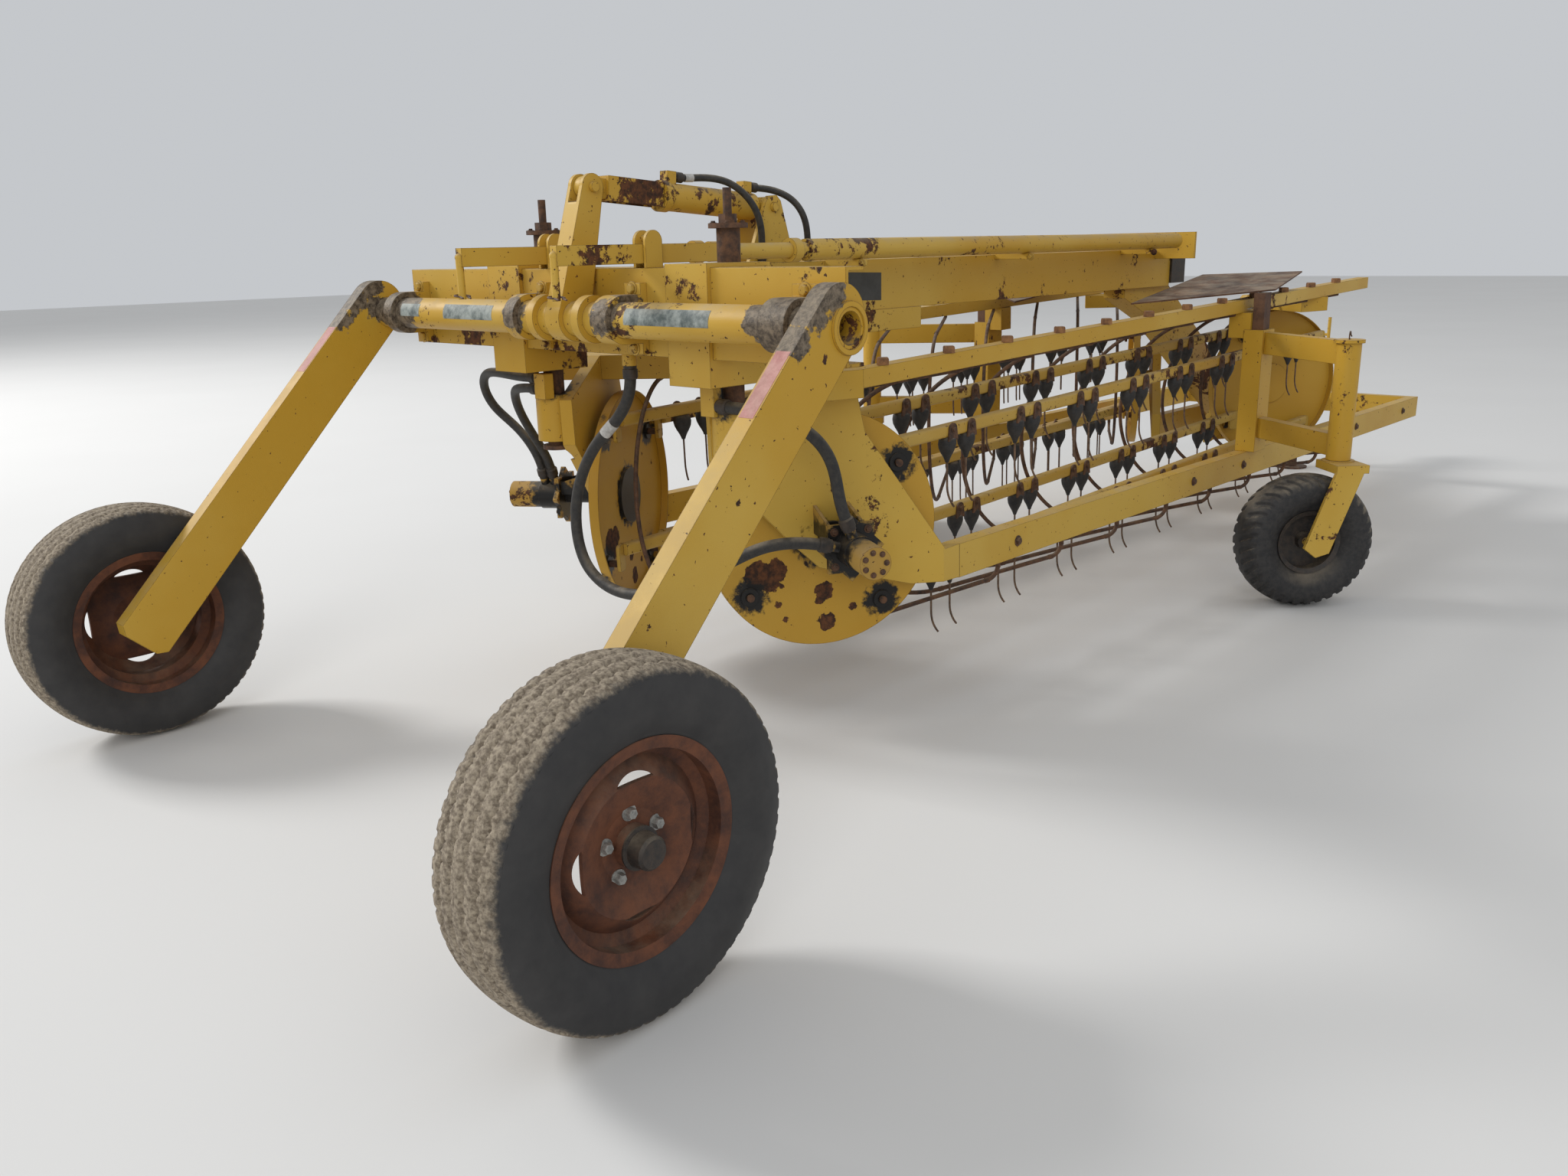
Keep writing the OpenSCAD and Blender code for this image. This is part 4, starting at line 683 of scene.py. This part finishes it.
rear_section = tyre_profile(
    [(0.064, 0.189), (0.070, 0.200), (0.074, 0.211), (0.086, 0.232), (0.0965, 0.262), (0.0975, 0.288),
     (0.0925, 0.310), (0.0855, 0.3255), (0.070, 0.3325), (0.040, 0.3375), (0.0, 0.3395)],
    [(-0.056, 0.189), (-0.080, 0.25), (-0.075, 0.30), (0.0, 0.325), (0.075, 0.30), (0.080, 0.25),
     (0.056, 0.189)], 116, 26)
rear_rubber = tyre_material("rear_rubber", placed((0, *REAR_WHEEL[1:])).tolist(), 0.325)
for label, side in SIDES:
    surface = lathe(rear_section, placed(REAR_WHEEL, side), (1, 0, 0), 512, rear_tread)
    tyre = make("tyre_tread_" + label, [surface], rear_rubber, "wheel_" + label, 50, ["tyre_" + label])
    print(tyre.name, len(tyre.data.polygons), "faces")

# %% [markdown]
# ## Caster tyres
# The small tyres have short blocks at the shoulders. The same turning is used, with a square wave over
# the angle taken off the radius near both edges of the tread.

# %% Caster tyres
CASTER_BLOCKS = 34
CASTER_POST, TRAIL, CASTER_RADIUS = (1.1, 2.65), 0.11, 0.25


def caster_tread(s, r, angle):
    """Shoulder blocks: every second stretch of the angle is 8 mm lower outside the middle rib."""
    turns = angle * CASTER_BLOCKS / (2 * np.pi)
    blocks = np.clip(triangle_wave(turns + 2.2 * s / 0.2) * 3 - 0.2, 0, 1)
    return 0.008 * blocks * np.clip((np.abs(s) - 0.022) / 0.004, 0, 1) * np.clip((r - 0.212) / 0.006, 0, 1)


caster_section = tyre_profile(
    [(0.050, 0.106), (0.056, 0.118), (0.070, 0.135), (0.085, 0.162), (0.0885, 0.190), (0.085, 0.213),
     (0.074, 0.232), (0.050, 0.2425), (0.025, 0.2475), (0.0, 0.2492)],
    [(-0.044, 0.106), (-0.07, 0.16), (-0.06, 0.21), (0.0, 0.235), (0.06, 0.21), (0.07, 0.16),
     (0.044, 0.106)], 84, 20)
turn = math.radians(-44)
caster_centre = np.array([CASTER_POST[0] + TRAIL * math.sin(turn), CASTER_POST[1] - TRAIL * math.cos(turn),
                          CASTER_RADIUS])
for label, side in SIDES:
    axis = np.array([math.cos(turn), side * math.sin(turn), 0])
    surface = lathe(caster_section, placed(caster_centre, side), axis, 408, caster_tread)
    tyre = make("caster_tread_" + label, [surface], holder_rubber, "caster_wheel_" + label, 40,
                ["caster_tyre_" + label])
    print(tyre.name, len(tyre.data.polygons), "faces")

# %% [markdown]
# ## Tine bars
# Each bar is a square tube with round corners that carries sixteen spring tines in pairs. A tine is a
# stiff wire moulded into a rubber holder, and a bolted clip keeps the holder's place on the bar. The
# bar, the clips, the rubber and the wires differ in finish, so each is a piece of its own. Together they
# stand for the bar's solid.

# %% Shapes of one tine bar
BAR_SIZE, LIFT = 0.038, 0.044                   # the tube's width, and how far it lies above its pivots
PAIRS, PAIR_STEP, HALF_PAIR = 8, 0.380, 0.05
BEND, BEND_RADIUS, DROP = math.radians(38), 0.110, 0.240   # a wire's bend, and how deep it ends


def bar_origin(i):
    """The rear pivot of bar i, in the reel's straight drawing."""
    along, height = pivot(i)
    return DISC - GAP * OUT + along * ALONG + height * UP


def tine_places(origin):
    """The points on the bar's middle line above the sixteen tines, in pairs 100 mm apart."""
    first = (BAR_LENGTH - (PAIRS - 1) * PAIR_STEP) / 2
    y = (first + PAIR_STEP * np.arange(PAIRS)[:, None] + [-HALF_PAIR, HALF_PAIR]).ravel()
    return origin + np.stack([0 * y, y, LIFT + 0 * y], -1)


def holder_parts(p):
    """Rubber body: rings whose half widths along and across the bar change with the depth."""
    depth = [0.000, 0.003, 0.010, 0.022, 0.036, 0.050, 0.062, 0.073, 0.080, 0.0805]
    wide = [0.022, 0.027, 0.030, 0.0315, 0.029, 0.022, 0.014, 0.008, 0.0060, 0]
    deep = [0.016, 0.022, 0.026, 0.027, 0.024, 0.018, 0.012, 0.008, 0.0060, 0]
    shift = [0.004, 0.003, 0.002, 0.001, 0.0, 0.0, 0.0, 0.0, 0.0, 0.0]
    count = 14
    a = np.arange(count) * 2 * np.pi / count
    rings = np.stack([p + np.stack([s + d * np.cos(a), w * np.sin(a), -z + 0 * a], -1)
                      for z, w, d, s in zip(depth, wide, deep, shift)])
    cap = np.repeat((p + [0.004, 0, 0.0005])[None], count, 0)[None]
    grid = np.concatenate([cap, rings])
    return [(grid.reshape(-1, 3), [tuple(f) for f in quads(len(grid), count)])]


def clip_parts(p):
    """A clip on the bar's side: a plate with a round top and a wider foot, and the bolt through it."""
    inside, outside, bolt_height, radius = 0.0195, 0.0245, 0.004, 0.020
    a = np.linspace(0, np.pi, 9)
    top = np.stack([radius * np.cos(a), bolt_height + radius * np.sin(a)], -1)
    outline = np.concatenate([top, [[-0.024, -0.03], [0.024, -0.03]]])
    plate = sweep([p + [inside, 0, 0], p + [outside, 0, 0]], outline)
    return [plate] + bolt(p + [outside, 0, bolt_height], (1, 0, 0), 0.008, 0.007)


def wire_path(p):
    """Straight down, then a bend of 110 mm radius through 38 degrees towards the basket's outside."""
    down = DROP - BEND_RADIUS * math.sin(BEND)
    a = np.linspace(0, BEND, 8)
    straight = [[0, 0, -0.070], [0, 0, -0.12], [0, 0, -down + 0.01]]
    bend = np.stack([BEND_RADIUS * (1 - np.cos(a)), 0 * a, -down - BEND_RADIUS * np.sin(a)], -1)
    q = np.concatenate([straight, bend])
    return p + q[:, :1] * ALONG + q[:, 2:] * UP


print("bar 1 rear pivot:", placed(sloped(bar_origin(0))).round(3))


# %% Build the eight bars
def bar_frame(parts, side):
    """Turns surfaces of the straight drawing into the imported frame."""
    return [(placed(sloped(v), side), f) for v, f in parts]


FOOT_LIFT = np.array([0, 0, 0.020])   # a foot plate's middle above the pivot
PIN = [(-0.062, 0), (-0.062, 0.011), (0.004, 0.011), (0.004, 0)]
for label, side in SIDES:
    for i in range(4):
        body = "tine_bar_%d_%s" % (i + 1, label)
        p0 = bar_origin(i)
        ends = [p0 + [0, 0.014, LIFT], p0 + [0, BAR_LENGTH - 0.014, LIFT]]
        tube = [sweep(ends, rounded(BAR_SIZE, BAR_SIZE, 0.009, 5))]
        pivots_of_bar = (p0, p0 + [0, BAR_LENGTH, 0])
        for foot in pivots_of_bar:
            faces = [foot + FOOT_LIFT - 0.006 * OUT, foot + FOOT_LIFT + 0.006 * OUT]
            tube.append(sweep(faces, rounded(0.046, 0.086, 0.012)))
        pins = [lathe(PIN, foot, way, 12) for foot, way in zip(pivots_of_bar, (-OUT, OUT))]
        tines = tine_places(p0)
        rubber = [part for p in tines for part in holder_parts(p - [0, 0, BAR_SIZE / 2])]
        clips = [part for p in tines for part in clip_parts(p)]
        wires = [sweep(wire_path(p), circle(0.0034, 6), (0.3, 0.9, 0.1)) for p in tines]
        make(body + "_tube", bar_frame(tube, side), bar_paint, body, 35, [body])
        make(body + "_holders", bar_frame(rubber, side), holder_rubber, body, 50)
        make(body + "_clips", bar_frame(clips + pins, side), rusty_steel, body, 35)
        make(body + "_wires", bar_frame(wires, side), wire_steel, body, 50)
print("tine bars made, with", len(SIDES) * 4 * 2 * PAIRS, "tines")

# %% [markdown]
# ## Wheel hubs
# Five bright wheel bolts and a greasy hub cap sit in the middle of each rusty rear rim.

# %% Hubs and wheel bolts
for label, side in SIDES:
    centre = placed(REAR_WHEEL, side)
    face = centre + [side * 0.032, 0, 0]
    bolts = bolt_ring(5, 20, 0.062, lambda a, b: face + [0, a, b], (side, 0, 0), 0.011, 0.014)
    make("wheel_bolts_" + label, bolts, bright_bolt, "wheel_" + label)
    cap = lathe([(0.0, 0.041), (0.004, 0.041), (0.006, 0.034), (0.034, 0.032), (0.040, 0.027), (0.041, 0)],
                centre + [side * 0.053, 0, 0], (side, 0, 0), 32)
    make("hub_cap_" + label, [cap], dark_iron, "wheel_" + label)
print("hubs made")

# %% [markdown]
# ## Bolts, nuts and clips
# The fasteners are too fine for the solids. Their places are listed with the way they point, and each
# body that carries some gets one piece.

# %% Bolt places
def nut(point, axis, size=0.021, height=0.020):
    """A square nut: a turned profile with four sides."""
    profile = [(0, 0), (0, size), (height * 0.8, size), (height, size * 0.88), (height, 0)]
    return [lathe(profile, point, axis, 4)]


def packed(parts, side):
    """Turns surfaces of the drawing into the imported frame."""
    return [(placed(v, side), f) for v, f in parts]


frame_bolts, screws = [], []
for x in (-0.81, -0.19, 0.19, 0.78):
    for z in (1.255, 1.105):
        frame_bolts += bolt(placed((x, 0.058, z)), (0, -1, 0), 0.013, 0.011)
for x in (-0.38, 0.38):
    screws += bolt_ring(4, 45, 0.037, lambda a, b: placed((x + a, 0.22 + b, 1.410)),
                        (0, 0, 1), 0.006, 0.006)
for x in (-0.23, 0.23):
    for y in (0.950, 1.900, 2.850):
        frame_bolts += bolt(placed((x, y - 0.0125, 1.297)), (0, -1, 0), 0.009, 0.008)
make("frame_bolts", frame_bolts, bar_paint, "frame")
make("post_bolts", screws, rusty_steel, "frame")
print("frame bolts:", len(frame_bolts) // 2)

# %% Bolts of each basket
for label, side in SIDES:
    blocks = [part for y in np.arange(0.60, 4.20, 0.305)
              for part in nut(sloped((0.585, y, 1.036)), (0, 0, 1))]
    make("tube_nuts_" + label, packed(blocks, side), nut_rust, "basket_" + label)
    parts = []
    for y in (1.176, 2.416, 2.876, 4.2, 4.9):
        parts += bolt(np.array([0.655, y, 0.452]), (1, 0, 0), 0.012, 0.010)
    parts += bolt_ring(7, 0, 0.030, lambda a, b: sloped(on_disc(a, b, 0.400)), OUT, 0.0055, 0.006)
    parts += bolt_ring(4, 45, 0.068, lambda a, b: sloped(on_disc(a, b, 0.226)), OUT, 0.008, 0.008)
    make("basket_bolts_" + label, packed(parts, side), rusty_steel, "basket_" + label)
    hub = bolt_ring(6, 0, 0.070, lambda a, b: sloped(on_disc(a, b, 0.012)), OUT, 0.008, 0.007)
    make("hub_bolts_" + label, packed(hub, side), dark_iron, "reel_rear_" + label)
print("basket bolts made")

# %% Wire clips
def clip_ring(centre, axis, radius):
    """A bent wire clip: an open ring of 5 mm wire, round an axis, whose two ends run on as short legs."""
    axis, wire, leg = unit(axis), 0.0025, 0.03
    u = unit(np.cross(axis, (0.2, 0.3, 0.93)))
    v = np.cross(axis, u)
    a = np.radians(np.linspace(-150, 150, 28))
    loop = centre + radius * (np.cos(a)[:, None] * u + np.sin(a)[:, None] * v)
    return [sweep(np.concatenate([[loop[0] - leg * u], loop, [loop[-1] - leg * u]]), circle(wire, 6), axis)]


for label, side in SIDES:
    link = clip_ring(placed((0.200, -0.190, 1.243), side), (0.1, 0, 1), 0.020)
    make("link_clip_" + label, link, rusty_steel, "frame")
    caster = clip_ring(placed((*CASTER_POST, 0.997), side), (1, 0.2, 0), 0.016)
    make("caster_clip_" + label, caster, rusty_steel, "basket_" + label)
print("clips made")

# %% [markdown]
# ## Blank plates and stickers
# The machine has faded stickers and a dark plate. They stay blank here: flat plates, and patches bent
# round the rock shaft, half a millimetre proud of the paint.

# %% Plates and stickers
def slab(corners, normal, thickness=0.0006):
    """A thin plate over four corners, raised along its normal."""
    c = np.asarray(corners, float)
    n = unit(normal)
    points = np.concatenate([c - 0.0003 * n, c + thickness * n])
    return points, [(0, 1, 2, 3), (4, 5, 6, 7), (0, 1, 5, 4), (1, 2, 6, 5), (2, 3, 7, 6), (3, 0, 4, 7)]


def bent(x0, x1, a0, a1):
    """A patch round the rock shaft: x from x0 to x1 and the angle from a0 to a1 degrees from the rear. Two
    such grids, one inside the other, are joined by a strip of faces all round."""
    rows, columns, shaft_height, radius = 12, 14, 1.18, 0.0455
    x = np.linspace(x0, x1, rows)[:, None] * np.ones((1, columns))
    a = np.radians(np.linspace(a0, a1, columns))[None] * np.ones((rows, 1))
    shell = [np.stack([x, -r * np.cos(a), shaft_height + r * np.sin(a)], -1).reshape(-1, 3)
             for r in (radius - 0.0008, radius)]
    number = np.arange(rows * columns).reshape(rows, columns)
    rim = np.concatenate([number[0], number[1:, -1], number[-1, -2::-1], number[-2:0:-1, 0]])
    following, grid = np.roll(rim, -1), quads(rows, columns, False)
    strip = np.stack([rim, following, following + number.size, rim + number.size], -1)
    faces = [tuple(f) for f in np.concatenate([grid, grid + number.size, strip])]
    return placed(np.concatenate(shell)), faces


def tilted(angle):
    """A direction turned up from straight ahead by the angle, and the one square to it that looks up."""
    c, s = math.cos(angle), math.sin(angle)
    return np.array([0, c, s]), np.array([0, -s, c])


faded_sticker = rough_surface("faded_sticker", (0.055, 0.075, 0.07), (0.36, 0.39, 0.36), 22.0, 0.4,
                              (0.5, 0.8), 0.0, 0.15)
sign_grey = rough_surface("sign_grey", (0.035, 0.036, 0.034), (0.07, 0.072, 0.068), 8.0, 0.2,
                          (0.5, 0.7), 0.0, 0.1)
sticker_white = rough_surface("sticker_white", (0.42, 0.41, 0.38), (0.62, 0.61, 0.58), 14.0, 0.3,
                              (0.5, 0.7), 0.0, 0.1)
strip_red = rough_surface("strip_red", (0.36, 0.11, 0.10), (0.55, 0.27, 0.24), 30.0, 0.4,
                          (0.5, 0.8), 0.0, 0.3)
print("materials:", len(bpy.data.materials))

# %% Place them
make("shaft_stickers", [bent(-0.76, -0.66, -8, 40), bent(-0.53, -0.29, -12, 42), bent(0.27, 0.57, -10, 44)],
     faded_sticker, "axle")
beam_side = 0.0803
sign = [(beam_side, y, z) for y, z in ((1.03, 1.180), (1.22, 1.174), (1.22, 1.262), (1.03, 1.268))]
make("sign_plate", [slab(placed(sign), (1, 0, 0))], sign_grey, "frame")
up_leg, raised = tilted(math.atan2(0.84, 0.80))
strip_middle = np.array([0.930, 0, 1.180]) + 0.105 * raised
up_cover, lifted = tilted(math.radians(4.6))
cover_start, cover_thickness = np.array([0, 2.600, 1.0363]), 0.006
for label, side in SIDES:
    corners = [strip_middle + a * up_leg + [x, 0, 0]
               for a, x in ((-0.32, -0.020), (-0.32, 0.020), (-0.15, 0.020), (-0.15, -0.020))]
    make("leg_strip_" + label, [slab(placed(corners, side), raised)], strip_red, "axle")
for label, side in SIDES:
    corners = [cover_start + [x, 0, 0] + y * up_cover + cover_thickness * lifted
               for x, y in ((0.585, 0.33), (0.640, 0.37), (0.615, 0.41), (0.560, 0.37))]
    sticker = [slab(placed(corners, side), lifted)]
    make("cover_sticker_" + label, sticker, sticker_white, "basket_" + label)
print("plates and stickers made")

# %% [markdown]
# ## Studio
# A plain pale floor, one large soft lamp from the left and behind as the low sun was, a weaker one by
# the camera and a pale surrounding light.

# %% Floor, lamps and world
REACH = 40
ground = bpy.data.meshes.new("studio_floor")
ground.from_pydata([(-REACH, -REACH, 0), (REACH, -REACH, 0), (REACH, REACH, 0), (-REACH, REACH, 0)],
                   [], [(0, 1, 2, 3)])
floor = bpy.data.objects.new("studio_floor", ground)
bpy.context.scene.collection.objects.link(floor)
floor_finish, tree, shader, coords = new_material("studio_floor")
shader.inputs["Roughness"].default_value = 0.9
tree.links.new(blended(tree, noise(tree, coords, 0.6, 2.0), (0.70, 0.69, 0.67), (0.74, 0.73, 0.71)),
               shader.inputs["Base Color"])
ground.materials.append(floor_finish)


def lamp(name, place, target, size, power):
    """A square area lamp at a place, turned to look at the target."""
    data = bpy.data.lights.new(name, "AREA")
    data.size, data.energy = size, power
    thing = bpy.data.objects.new(name, data)
    bpy.context.scene.collection.objects.link(thing)
    back = unit(np.asarray(place, float) - target)
    across = unit(np.cross([0, 0, 1], back))
    top = np.cross(back, across)
    thing.matrix_world = Matrix([[across[i], top[i], back[i], place[i]] for i in range(3)] + [[0, 0, 0, 1]])
    return thing


lamp("key", (-14.5, -8.0, 11.5), (0, -1.0, 0.7), 5.0, 2300)
lamp("fill", (10.0, -15.0, 8.0), (0, -1.0, 0.6), 8.0, 700)
world = bpy.data.worlds.new("studio")
world.use_nodes = True
bpy.context.scene.world = world
sky = world.node_tree.nodes["Background"]
sky.inputs["Color"].default_value, sky.inputs["Strength"].default_value = (0.93, 0.96, 1.0, 1), 0.6
bpy.context.scene.view_settings.view_transform = "Standard"
